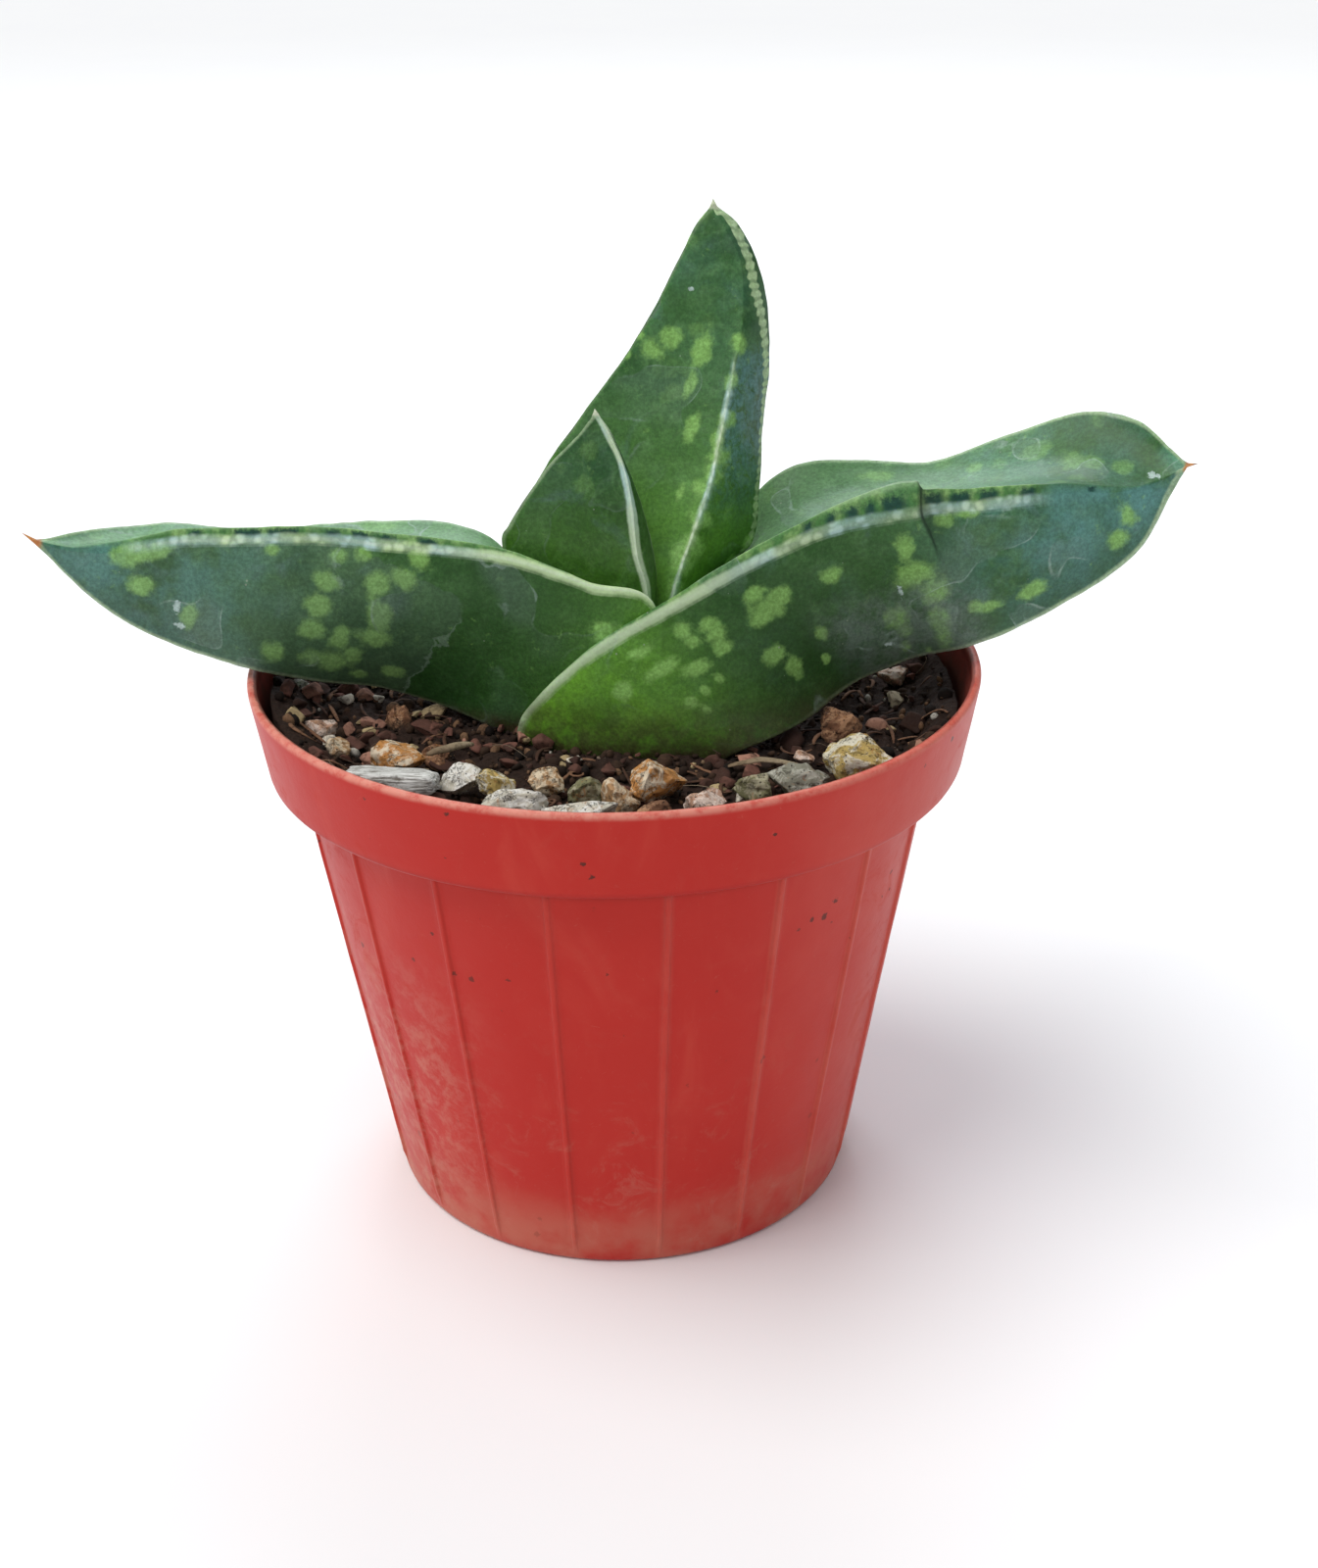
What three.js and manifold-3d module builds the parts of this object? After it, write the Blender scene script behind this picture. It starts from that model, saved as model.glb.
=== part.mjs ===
// A young gasteria in a plastic nursery pot of gritty soil, as separate closed solids.
// Millimetres, +Z up. The origin is on the pot's axis, on the surface the pot stands on.
// The two long leaves lie along X, and the front of the plant faces -Y.

import * as THREE from 'three';
import { mergeVertices } from 'three/addons/utils/BufferGeometryUtils.js';
import Module from 'manifold-3d';

// ---------------------------------------------------------------- driving dimensions (mm, degrees)

// Pot: a tapered wall, a ledge, and a wider collar up to the lip.
const POT_HEIGHT = 81;
const RIM_RADIUS = 52.5;
const COLLAR_HEIGHT = 13;
const COLLAR_TAPER = 2.2;
const LEDGE_WIDTH = 4.3;
const FOOT_RADIUS = 34.6;
const WALL = 1.2;
const LIP_THICKNESS = 1.5;
const LIP_DEPTH = 2;
const FOOT_BEVEL = 0.8;
const FOOT_RING_WIDTH = 4;
const PLATE_LIFT = 1.2;
const PAD_RADIUS = 8;
const POT_SEGMENTS = 60;
const RIB_COUNT = 18;
const RIB_WIDTH = 0.9;
const RIB_HEIGHT = 0.4;
const RIB_START_ANGLE = -82;
const RIB_FOOT_CLEARANCE = 2.5;
const DRAIN_COUNT = 8;
const DRAIN_RADIUS = 2.8;
const DRAIN_CIRCLE_RADIUS = 22;

// Soil and what lies on it.
const HEADSPACE = 8;
const SOIL_TILT = 1.4;
const SOIL_BUMP = 0.5;
const STONE_COARSENESS = 1;
const SOIL_SEGMENTS = 60;

// Plant.
const LEFT_LEAF_REACH = 81.5;
const RIGHT_LEAF_REACH = 82;
const UPRIGHT_LEAF_HEIGHT = 71;
const YOUNG_LEAF_HEIGHT = 45.5;
const LEAF_MARGIN = 1;
const STEM_RADIUS = 7;
const STEM_TOP_DEPTH = 4;
const STEM_LENGTH = 18;
const ROOT_COUNT = 5;
const ROOT_LENGTH = 30;
const ROOT_RADIUS = 1.4;

// Clearance between two pieces that touch.
const FIT_GAP = 0.3;

// ---------------------------------------------------------------- places that follow from them

const SOIL_LEVEL = POT_HEIGHT - HEADSPACE;
const LEDGE_LEVEL = POT_HEIGHT - COLLAR_HEIGHT;
const COLLAR_FOOT_RADIUS = RIM_RADIUS - COLLAR_TAPER;
const WALL_TOP_RADIUS = COLLAR_FOOT_RADIUS - LEDGE_WIDTH;
const PLATE_TOP = PLATE_LIFT + WALL;

const rad = THREE.MathUtils.degToRad;
const lerp = THREE.MathUtils.lerp;

function collarRadius(z) {
  return lerp(COLLAR_FOOT_RADIUS, RIM_RADIUS, (z - LEDGE_LEVEL) / COLLAR_HEIGHT);
}

function wallRadius(z) {
  return lerp(FOOT_RADIUS, WALL_TOP_RADIUS, z / LEDGE_LEVEL);
}

const SOIL_RADIUS = collarRadius(SOIL_LEVEL) - WALL - FIT_GAP;

// ---------------------------------------------------------------- solids

const wasm = await Module();
wasm.setup();

function toSolid(geometry) {
  const bare = geometry.clone();
  bare.deleteAttribute('normal');
  bare.deleteAttribute('uv');
  const merged = mergeVertices(bare, 1e-4);
  const faces = [];
  for (let i = 0; i < merged.index.count; i += 3) {
    const [a, b, c] = [0, 1, 2].map((k) => merged.index.getX(i + k));
    if (a !== b && b !== c && c !== a) faces.push(a, b, c);
  }
  const mesh = new wasm.Mesh({
    numProp: 3,
    vertProperties: new Float32Array(merged.attributes.position.array),
    triVerts: new Uint32Array(faces),
  });
  return new wasm.Manifold(mesh);
}

function toGeometry(solid) {
  const mesh = solid.getMesh();
  const geometry = new THREE.BufferGeometry();
  geometry.setAttribute('position', new THREE.BufferAttribute(mesh.vertProperties, 3));
  geometry.setIndex(new THREE.BufferAttribute(mesh.triVerts, 1));
  geometry.computeVertexNormals();
  return geometry;
}

// Closed skin over rings of equal point count, closed to a point at each end.
function loft(start, rings, end) {
  const count = rings[0].length;
  const points = [start, ...rings.flat(), end];
  const last = points.length - 1;
  const at = (ring, k) => 1 + ring * count + (k % count);
  const faces = [];
  for (let k = 0; k < count; k++) {
    faces.push(0, at(0, k + 1), at(0, k));
    faces.push(last, at(rings.length - 1, k), at(rings.length - 1, k + 1));
  }
  for (let ring = 0; ring < rings.length - 1; ring++) {
    for (let k = 0; k < count; k++) {
      faces.push(at(ring, k), at(ring, k + 1), at(ring + 1, k + 1));
      faces.push(at(ring, k), at(ring + 1, k + 1), at(ring + 1, k));
    }
  }
  const signedVolume = (f) => {
    let sum = 0;
    for (let i = 0; i < f.length; i += 3) {
      const [a, b, c] = [points[f[i]], points[f[i + 1]], points[f[i + 2]]];
      sum += a.dot(b.clone().cross(c));
    }
    return sum;
  };
  if (signedVolume(faces) < 0) faces.reverse();
  const geometry = new THREE.BufferGeometry().setFromPoints(points);
  geometry.setIndex(faces);
  return geometry;
}

function centre(points) {
  const sum = points.reduce((total, p) => total.add(p), new THREE.Vector3());
  return sum.divideScalar(points.length);
}

function cutAway(solid, cutters) {
  return cutters.reduce((rest, cutter) => rest.subtract(cutter), solid);
}

// ---------------------------------------------------------------- pot

function potProfile() {
  const lipInner = RIM_RADIUS - LIP_THICKNESS;
  const innerLedge = LEDGE_LEVEL + WALL;
  const ringInner = FOOT_RADIUS - FOOT_RING_WIDTH;
  const round = LIP_THICKNESS * 0.3;
  return [
    [0, 0],
    [PAD_RADIUS, 0],
    [PAD_RADIUS, PLATE_LIFT],
    [ringInner, PLATE_LIFT],
    [ringInner, 0],
    [FOOT_RADIUS - FOOT_BEVEL, 0],
    [wallRadius(FOOT_BEVEL), FOOT_BEVEL],
    [WALL_TOP_RADIUS, LEDGE_LEVEL],
    [COLLAR_FOOT_RADIUS, LEDGE_LEVEL],
    [RIM_RADIUS, POT_HEIGHT - round],
    [RIM_RADIUS - round, POT_HEIGHT],
    [lipInner + round, POT_HEIGHT],
    [lipInner, POT_HEIGHT - round],
    [lipInner, POT_HEIGHT - LIP_DEPTH],
    [collarRadius(POT_HEIGHT - LIP_DEPTH - WALL) - WALL, POT_HEIGHT - LIP_DEPTH - WALL],
    [collarRadius(innerLedge) - WALL, innerLedge],
    [wallRadius(innerLedge) - WALL, innerLedge],
    [wallRadius(PLATE_TOP) - WALL, PLATE_TOP],
    [0, PLATE_TOP],
  ].map(([radius, z]) => new THREE.Vector2(radius, z));
}

// A rib is a thin upright fin that follows the tapered wall from its foot to the ledge.
function rib(angle) {
  const bite = WALL / 2;
  const foot = RIB_FOOT_CLEARANCE;
  const head = LEDGE_LEVEL + bite;
  const outline = new THREE.Shape([
    new THREE.Vector2(wallRadius(foot) - bite, foot),
    new THREE.Vector2(wallRadius(foot) + RIB_HEIGHT, foot),
    new THREE.Vector2(wallRadius(head) + RIB_HEIGHT, head),
    new THREE.Vector2(wallRadius(head) - bite, head),
  ]);
  const fin = new THREE.ExtrudeGeometry(outline, { depth: RIB_WIDTH, bevelEnabled: false });
  fin.translate(0, 0, -RIB_WIDTH / 2);
  fin.rotateX(Math.PI / 2);
  fin.rotateZ(angle);
  return toSolid(fin);
}

function drainHole(angle) {
  const bore = new THREE.CylinderGeometry(DRAIN_RADIUS, DRAIN_RADIUS, 4 * PLATE_TOP, 16);
  bore.rotateX(Math.PI / 2);
  bore.translate(DRAIN_CIRCLE_RADIUS, 0, PLATE_TOP);
  bore.rotateZ(angle);
  return toSolid(bore);
}

function pot() {
  const lathe = new THREE.LatheGeometry(potProfile(), POT_SEGMENTS);
  lathe.rotateX(Math.PI / 2);
  let solid = toSolid(lathe);
  for (let i = 0; i < RIB_COUNT; i++) {
    solid = solid.add(rib(rad(RIB_START_ANGLE + (360 * i) / RIB_COUNT)));
  }
  for (let i = 0; i < DRAIN_COUNT; i++) {
    solid = solid.subtract(drainHole(rad((360 * (i + 0.5)) / DRAIN_COUNT)));
  }
  return solid;
}

// ---------------------------------------------------------------- leaves

// Every leaf has a three-sided section between three edges that run from its base to its tip: a and b are
// the two margins of the upper, hollow face, and c is the keel below. Edge points are [outwards, back, up] in
// hundredths of the leaf's reach, with up counted from the soil. hollow is the depth of the upper face and
// swell the fullness of the two lower faces, in hundredths of the width of the face. The long leaves have a
// raised bevel on b: rim is its height at even steps from base to tip, in hundredths of the reach.
const LEAVES = {
  left_leaf: {
    reach: LEFT_LEAF_REACH,
    outwards: -1,
    hollow: 16,
    swell: 7,
    rim: [0.5, 0.7, 1.1, 1.7, 2.3, 2.3, 2.3, 2.3, 1.6, 0.5, 0.4],
    b: [[-4, -10, -9], [-7.5, -14, 22.5], [4, -12, 27], [17, -9.5, 31], [30.5, -7.5, 32.5],
      [45.5, -6, 34], [58.5, -6, 34.4], [71.5, -6, 34.2], [83.5, -6, 33], [91.5, -5.5, 33.3],
      [97.5, -5, 34.5]],
    c: [[10, -10, -12], [14.5, -11.5, -5], [22, -9, 0], [32.5, -3.5, 2.5], [42.5, -3.5, 5.5],
      [54, -5.5, 8], [64, -8, 11.5], [75.5, -7.5, 15.5], [85, -7.5, 21], [92.5, -6.5, 27.5],
      [98, -5, 34]],
    a: [[7.5, 7.5, -10], [12.5, 13, 13], [19.5, 16, 25], [27, 17, 29.5], [37.5, 18.5, 30],
      [51.5, 18.5, 29.5], [63.5, 17, 29], [75, 13.5, 31.5], [86, 8.5, 33], [93, 1, 34.5],
      [97.5, -4.5, 34.8]],
    tip: [100, -4.5, 36],
  },
  right_leaf: {
    reach: RIGHT_LEAF_REACH,
    outwards: 1,
    hollow: 16,
    swell: 7,
    rim: [0.6, 1, 1.6, 2.2, 3, 3.9, 3.3, 2.7, 1.3, 0.5, 0.4],
    b: [[-6, -12, -9], [-17, -14, 0.5], [-6, -17, 15], [8, -16, 23.5], [22, -13.5, 30.5],
      [36.5, -11, 36], [50.5, -10, 38.5], [63, -8.5, 39], [75.5, -6.5, 39.5], [86.5, -3.5, 39],
      [93.5, -1, 40.5], [98, 0, 42.5]],
    c: [[10, -12, -12], [14.5, -20, -5], [21.5, -21, 0], [32, -16, 2.5], [41, -9.5, 6.5],
      [51.5, -6, 10], [61.5, -7, 12.5], [71.5, -6, 16], [82, -5, 22], [90.5, -3, 28],
      [95.5, -1, 37], [98, 0, 42.5]],
    a: [[7.5, 8.5, -10], [11, 14.5, 6], [17, 17, 20.5], [25, 19.5, 33], [33.5, 20.5, 38.5],
      [45, 20.5, 39], [57, 19.5, 39], [70.5, 18.5, 44], [82.5, 14.5, 49], [90.5, 8.5, 49.2],
      [95, 2.5, 46], [98.3, 0.5, 43.3]],
    tip: [100, 0.5, 43],
  },
  upright_leaf: {
    reach: UPRIGHT_LEAF_HEIGHT,
    outwards: 1,
    hollow: 6,
    swell: 5,
    a: [[-8.5, -1.5, -10], [-14, 0, 7], [-18.5, 3, 24], [-19.5, 5.5, 38], [-13.2, 8.5, 50],
      [-6, 11.5, 59], [2.4, 15.5, 69.5], [8.2, 17.5, 78.5], [13, 19.5, 87], [16.8, 21, 93.5],
      [20, 21, 97]],
    b: [[5.5, -7, -11], [7, -9, 7], [12, -7, 27.5], [15.5, -3, 36], [19.5, 1.5, 46.5],
      [22, 5.5, 56], [24.5, 10, 66.5], [26.5, 14, 76.5], [26, 17.5, 86.5], [23, 19.5, 93],
      [20.8, 20.8, 97]],
    c: [[12.5, 1.5, -11], [18.5, 3, 7], [21, 5.5, 24], [29, 8.5, 32.5], [30.5, 12.5, 43.5],
      [31.5, 17, 54], [32.7, 19.5, 66], [32.2, 21, 77.5], [30.5, 22, 85.5], [27, 22, 92.5],
      [21.8, 21.3, 97]],
    tip: [20.8, 21, 98.5],
  },
  young_leaf: {
    reach: YOUNG_LEAF_HEIGHT,
    outwards: 1,
    hollow: 3,
    swell: 5,
    a: [[-11, -6.5, -15], [-26.5, -6.5, 15.5], [-34.5, -5.5, 54.5], [-32.5, -4.5, 63.5],
      [-26.5, -3.5, 73], [-19, -2, 82.5], [-10.5, -2, 91], [-5.5, -2, 97]],
    b: [[6.5, -15.5, -17.5], [9, -20, 15.5], [10.5, -19, 42.5], [7.5, -17.5, 56.5], [6, -14.5, 71],
      [4, -11, 82], [0, -6.5, 90.5], [-3.5, -3, 97]],
    c: [[11, -6.5, -15.5], [13, -9, 15.5], [13.5, -9, 42], [12.5, -7.5, 56], [9.5, -5.5, 68],
      [5.5, -3.5, 80], [1, -2, 90], [-4, -1.5, 97]],
    tip: [-4.7, -2, 98.5],
  },
};
const LEAF_RINGS = 22;
const SIDE_STEPS = [0, 0.25, 0.5, 0.75, 1];
const RIM_LEAN = 0.36;
const RIM_SHOULDER = 0.12;

// One side of a section from corner to corner, bowed by a share of its width along the outward normal.
// It starts and ends short of the corners, which leaves the leaf's margins blunt.
function sectionSide(from, to, inside, bow) {
  const across = to.clone().sub(from);
  const width = across.length();
  const outward = from.clone().add(to).divideScalar(2).sub(inside);
  outward.addScaledVector(across, -outward.dot(across) / (width * width)).normalize();
  const blunt = Math.min(LEAF_MARGIN / width, 0.25);
  return SIDE_STEPS.map((step) => {
    const s = lerp(blunt, 1 - blunt, step);
    return from.clone().addScaledVector(across, s).addScaledVector(outward, bow * width * 4 * s * (1 - s));
  });
}

// Moves each point of a flat closed outline outwards by the same distance from both of its sides.
function widen(outline, distance) {
  const middle = centre(outline);
  const flat = new THREE.Vector3();
  outline.forEach((p, i) => {
    const next = outline[(i + 1) % outline.length];
    flat.add(p.clone().sub(middle).cross(next.clone().sub(middle)));
  });
  flat.normalize();
  const sideNormal = (p, q) => q.clone().sub(p).cross(flat).normalize();
  return outline.map((p, i) => {
    const before = outline[(i + outline.length - 1) % outline.length];
    const after = outline[(i + 1) % outline.length];
    const n1 = sideNormal(before, p);
    const n2 = sideNormal(p, after);
    const share = Math.max(1 + n1.dot(n2), 0.5);
    return p.clone().addScaledVector(n1.add(n2), distance / share);
  });
}

// The top of the bevel on edge b, at a share of the way from the leaf's base to its tip.
function rimTop(foot, shape, share) {
  const place = share * (shape.rim.length - 1);
  const before = Math.min(Math.floor(place), shape.rim.length - 2);
  const height = lerp(shape.rim[before], shape.rim[before + 1], place - before) * (shape.reach / 100);
  return foot.clone().add(new THREE.Vector3(0, RIM_LEAN * height, height));
}

function leaf(name, grow = 0) {
  const shape = LEAVES[name];
  const place = ([outwards, back, up]) => new THREE.Vector3(shape.outwards * outwards, back, up)
    .multiplyScalar(shape.reach / 100)
    .add(new THREE.Vector3(0, 0, SOIL_LEVEL));
  const curve = (points) => new THREE.CatmullRomCurve3(points.map(place), false, 'catmullrom', 0.5);
  const edges = [shape.a, shape.b, shape.c].map(curve);
  const rings = [];
  for (let i = 0; i < LEAF_RINGS; i++) {
    const share = i / (LEAF_RINGS - 1);
    const [a, b, c] = edges.map((edge) => edge.getPoint(share));
    const middle = centre([a, b, c]);
    const top = shape.rim ? rimTop(b, shape, share) : b;
    const bevel = shape.rim ? [top.clone().lerp(b, RIM_SHOULDER), b.clone().lerp(top, RIM_SHOULDER)] : [];
    const outline = [
      ...sectionSide(a, top, middle, -shape.hollow / 100),
      ...bevel,
      ...sectionSide(b, c, middle, shape.swell / 100),
      ...sectionSide(c, a, middle, shape.swell / 100),
    ];
    rings.push(grow > 0 ? widen(outline, grow) : outline);
  }
  const tip = place(shape.tip);
  const base = centre(rings[0]);
  const inwards = base.clone().sub(centre(rings[1])).normalize();
  if (grow > 0) {
    tip.addScaledVector(tip.clone().sub(centre(rings[LEAF_RINGS - 1])).normalize(), grow);
    rings[0].forEach((p) => p.addScaledVector(inwards, grow));
    base.addScaledVector(inwards, grow);
  }
  return toSolid(loft(base, rings, tip));
}

// ---------------------------------------------------------------- stem and roots

// A round tapering rod through points, with its own radius at each end.
function taperedRod(points, startRadius, endRadius, steps, sides) {
  const path = new THREE.CatmullRomCurve3(points);
  const frames = path.computeFrenetFrames(steps, false);
  const rings = [];
  for (let i = 0; i <= steps; i++) {
    const p = path.getPointAt(i / steps);
    const radius = lerp(startRadius, endRadius, i / steps);
    const ring = [];
    for (let k = 0; k < sides; k++) {
      const angle = (2 * Math.PI * k) / sides;
      ring.push(p.clone()
        .addScaledVector(frames.normals[i], radius * Math.cos(angle))
        .addScaledVector(frames.binormals[i], radius * Math.sin(angle)));
    }
    rings.push(ring);
  }
  return toSolid(loft(path.getPointAt(0), rings, path.getPointAt(1)));
}

const STEM_TOP = SOIL_LEVEL - STEM_TOP_DEPTH;
const STEM_FOOT = STEM_TOP - STEM_LENGTH;

function stem(grow = 0) {
  const top = new THREE.Vector3(0, 0, STEM_TOP + grow);
  const foot = new THREE.Vector3(0, 0, STEM_FOOT - grow);
  return taperedRod([top, foot], STEM_RADIUS + grow, STEM_RADIUS * 0.7 + grow, 3, 20);
}

// Roots leave the foot of the stem one after another around it, turn down and thin out. Each is drawn from
// inside the stem, which cuts it off square at its foot.
function root(index, grow = 0) {
  const angle = (2 * Math.PI * (index + 0.3)) / ROOT_COUNT;
  const length = ROOT_LENGTH * (1 - 0.08 * (index % 3));
  const start = STEM_RADIUS * 0.45;
  const along = (outwards, down, twist) => new THREE.Vector3(
    (start + outwards) * Math.cos(angle + twist),
    (start + outwards) * Math.sin(angle + twist),
    STEM_FOOT - down,
  );
  const points = [
    along(0, -ROOT_RADIUS, 0),
    along(length * 0.08, length * 0.1, 0),
    along(length * 0.27, length * 0.3, 0.1),
    along(length * 0.4, length * 0.6, 0.25),
    along(length * 0.45, length, 0.2),
  ];
  return taperedRod(points, ROOT_RADIUS + grow, ROOT_RADIUS * 0.4 + grow, 7, 6);
}

// ---------------------------------------------------------------- stones, bark and twigs

// Lumps on the soil: [right, back, lift, width, depth, height, turn]. Right and back are in hundredths of
// the soil's radius, lift is the middle's height above the soil and turn is in degrees; sizes are in mm.
const STONES = [
  [-84, -22, 1.2, 5.2, 4.6, 4.4, 20],
  [-91, 4, 1.0, 2.4, 4.4, 3.8, 70],
  [-60, -44, 2.0, 7.4, 5.6, 4.8, 10],
  [-62, -14, 1.0, 4.2, 4.6, 4.8, 40],
  [-50, -41, 1.4, 4.2, 4.0, 3.2, 75],
  [-42, -60, 2.2, 5.2, 4.2, 3.4, 15],
  [-32, -64, 2.6, 5.2, 5.4, 4.8, 50],
  [-19, -60, 1.6, 4.4, 4.4, 4.4, 80],
  [-8, -66, 1.8, 5.4, 4.8, 4.6, 30],
  [-10, -84, 3.0, 8.6, 4.2, 3.2, 5],
  [-27, -80, 2.8, 8.4, 5.0, 3.8, -12],
  [11, -66, 3.2, 7.8, 6.8, 6.2, 35],
  [1, -73, 2.8, 5.2, 4.8, 4.8, 60],
  [9, -82, 2.6, 4.8, 3.8, 3.8, 15],
  [23, -77, 2.4, 5.6, 4.4, 4.2, 5],
  [36, -62, 1.8, 5.6, 5.0, 4.6, 70],
  [49, -63, 2.4, 8.4, 6.2, 5.4, 12],
  [66, -50, 3.0, 9.8, 7.6, 6.4, 28],
  [64, -22, 1.4, 6.2, 5.6, 5.0, 45],
  [52, -39, 0.9, 2.8, 2.6, 2.6, 0],
  [87, -30, 1.0, 5.8, 4.4, 3.0, 62],
  [76, -56, 1.6, 4.8, 3.8, 3.4, -35],
  [-78, -36, 0.6, 4.4, 3.6, 3.0, 25],
  [-66, 30, 1.6, 6.4, 5.4, 4.6, 15],
  [-44, 58, 1.8, 5.2, 6.0, 4.6, 65],
  [-20, 76, 1.6, 7.0, 5.2, 4.4, 10],
  [2, 60, 1.8, 5.4, 5.0, 4.4, 35],
  [24, 74, 1.6, 6.6, 5.4, 4.8, 80],
  [46, 58, 1.4, 4.8, 4.6, 4.0, 20],
  [66, 36, 1.6, 6.8, 5.6, 4.8, 50],
  [84, 18, 1.0, 4.6, 4.4, 3.6, 5],
];

function soilHeight(x, y) {
  const tilt = (-SOIL_TILT * x) / SOIL_RADIUS;
  const bumps = Math.sin(x * 0.31 + 1.3) * Math.cos(y * 0.27) + 0.6 * Math.sin(x * 0.13 - y * 0.41);
  return SOIL_LEVEL + tilt + SOIL_BUMP * bumps;
}

// Rough rounded stone: a ball with shallow dents that differ from stone to stone.
function stone(index, grow = 0) {
  const [right, back, lift, width, depth, height, turn] = STONES[index];
  const lump = new THREE.IcosahedronGeometry(1, 1);
  const position = lump.attributes.position;
  const p = new THREE.Vector3();
  for (let i = 0; i < position.count; i++) {
    p.fromBufferAttribute(position, i);
    const wave = Math.sin(2.3 * p.x + index) * Math.cos(2.9 * p.y - 2 * index);
    const dent = wave + Math.sin(3.1 * p.z + 3 * index);
    p.multiplyScalar(0.94 + 0.05 * dent);
    const half = new THREE.Vector3(width, depth, height).multiplyScalar(STONE_COARSENESS / 2);
    p.multiply(half.addScalar(grow));
    position.setXYZ(i, p.x, p.y, p.z);
  }
  const x = (right / 100) * SOIL_RADIUS;
  const y = (back / 100) * SOIL_RADIUS;
  lump.rotateZ(rad(turn));
  lump.translate(x, y, soilHeight(x, y) + lift);
  return toSolid(lump);
}

// Flat split piece of bark with blunt ends, lying across the soil near the front of the lip.
function barkSlab(grow = 0) {
  const x = -0.6 * SOIL_RADIUS;
  const y = -0.65 * SOIL_RADIUS;
  const outline = new THREE.Shape([
    new THREE.Vector2(-6.2 - grow, -1.2),
    new THREE.Vector2(-4.4, -2.2 - grow),
    new THREE.Vector2(5.2, -2.0 - grow),
    new THREE.Vector2(6.4 + grow, -0.2),
    new THREE.Vector2(4.6, 2.0 + grow),
    new THREE.Vector2(-3.4, 2.4 + grow),
    new THREE.Vector2(-5.8 - grow, 1.0),
  ]);
  const thickness = 2.2 + 2 * grow;
  const slab = new THREE.ExtrudeGeometry(outline, { depth: thickness, bevelEnabled: false });
  slab.translate(0, 0, -thickness / 2);
  slab.rotateX(rad(-12));
  slab.rotateZ(rad(-8));
  slab.translate(x, y, soilHeight(x, y) + 2.6);
  return toSolid(slab);
}

// Thin dry stalks that lie on the soil: [[right, back, lift], ...] in hundredths of the soil's radius and mm.
const TWIGS = [
  { radius: 0.6, points: [[-50, -52, 4.2], [-45, -47, 3.4], [-40, -42, 2.4]] },
  { radius: 0.7, points: [[31, -46, 1.2], [41, -44, 1.6], [50, -46, 1.2]] },
];

function twig(index, grow = 0) {
  const { radius, points } = TWIGS[index];
  const path = points.map(([right, back, lift]) => {
    const x = (right / 100) * SOIL_RADIUS;
    const y = (back / 100) * SOIL_RADIUS;
    return new THREE.Vector3(x, y, soilHeight(x, y) + lift);
  });
  return taperedRod(path, radius + grow, radius * 0.6 + grow, 4, 6);
}

// ---------------------------------------------------------------- soil

// The heart of the plant, between the leaf bases, holds no soil.
function heart() {
  const top = new THREE.Vector3(0, 0, SOIL_LEVEL + HEADSPACE);
  const foot = new THREE.Vector3(0, 0, STEM_TOP - STEM_RADIUS * 0.2);
  const radius = STEM_RADIUS + FIT_GAP;
  return taperedRod([top, foot], radius, radius, 1, 20);
}

const soilAngles = Array.from({ length: SOIL_SEGMENTS }, (_, k) => (2 * Math.PI * k) / SOIL_SEGMENTS);

// A level ring of the soil's side, against the pot.
function soilSide(radius, height) {
  return soilAngles.map((angle) => new THREE.Vector3(
    radius * Math.cos(angle),
    radius * Math.sin(angle),
    height,
  ));
}

// A ring of its uneven top. The outermost one follows the collar's taper up and down.
function soilTop(share) {
  return soilAngles.map((angle) => {
    const nominal = share * SOIL_RADIUS;
    const height = soilHeight(nominal * Math.cos(angle), nominal * Math.sin(angle));
    const radius = share * (collarRadius(height) - WALL - FIT_GAP);
    return new THREE.Vector3(radius * Math.cos(angle), radius * Math.sin(angle), height);
  });
}

function soilBody() {
  const bottom = PLATE_TOP + FIT_GAP;
  const step = LEDGE_LEVEL + WALL + FIT_GAP;
  const inset = WALL + FIT_GAP;
  const rings = [
    soilSide(wallRadius(bottom) - inset, bottom),
    soilSide(wallRadius(step) - inset, step),
    soilSide(collarRadius(step) - inset, step),
  ];
  for (const share of [1, 0.86, 0.72, 0.56, 0.4, 0.22]) {
    rings.push(soilTop(share));
  }
  const foot = new THREE.Vector3(0, 0, bottom);
  const crown = new THREE.Vector3(0, 0, soilHeight(0, 0));
  return toSolid(loft(foot, rings, crown));
}

// ---------------------------------------------------------------- assembly

const FINISH = {
  pot: { color: 0xb73a30, roughness: 0.45 },
  soil: { color: 0x2e221b, roughness: 0.95 },
  leaf: { color: 0x35552f, roughness: 0.35 },
  stem: { color: 0x8a8f5c, roughness: 0.8 },
  root: { color: 0xb79a6b, roughness: 0.85 },
  stone: { color: 0xa98d68, roughness: 0.85 },
  bark: { color: 0x9a948a, roughness: 0.9 },
  twig: { color: 0x8d7a60, roughness: 0.9 },
};

const plant = new THREE.Group();

function addPart(name, solid, finish) {
  const material = new THREE.MeshStandardMaterial({ metalness: 0, ...FINISH[finish] });
  const mesh = new THREE.Mesh(toGeometry(solid), material);
  mesh.name = name;
  plant.add(mesh);
}

const numbered = (kind, index) => `${kind}_${String(index + 1).padStart(2, '0')}`;

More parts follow.
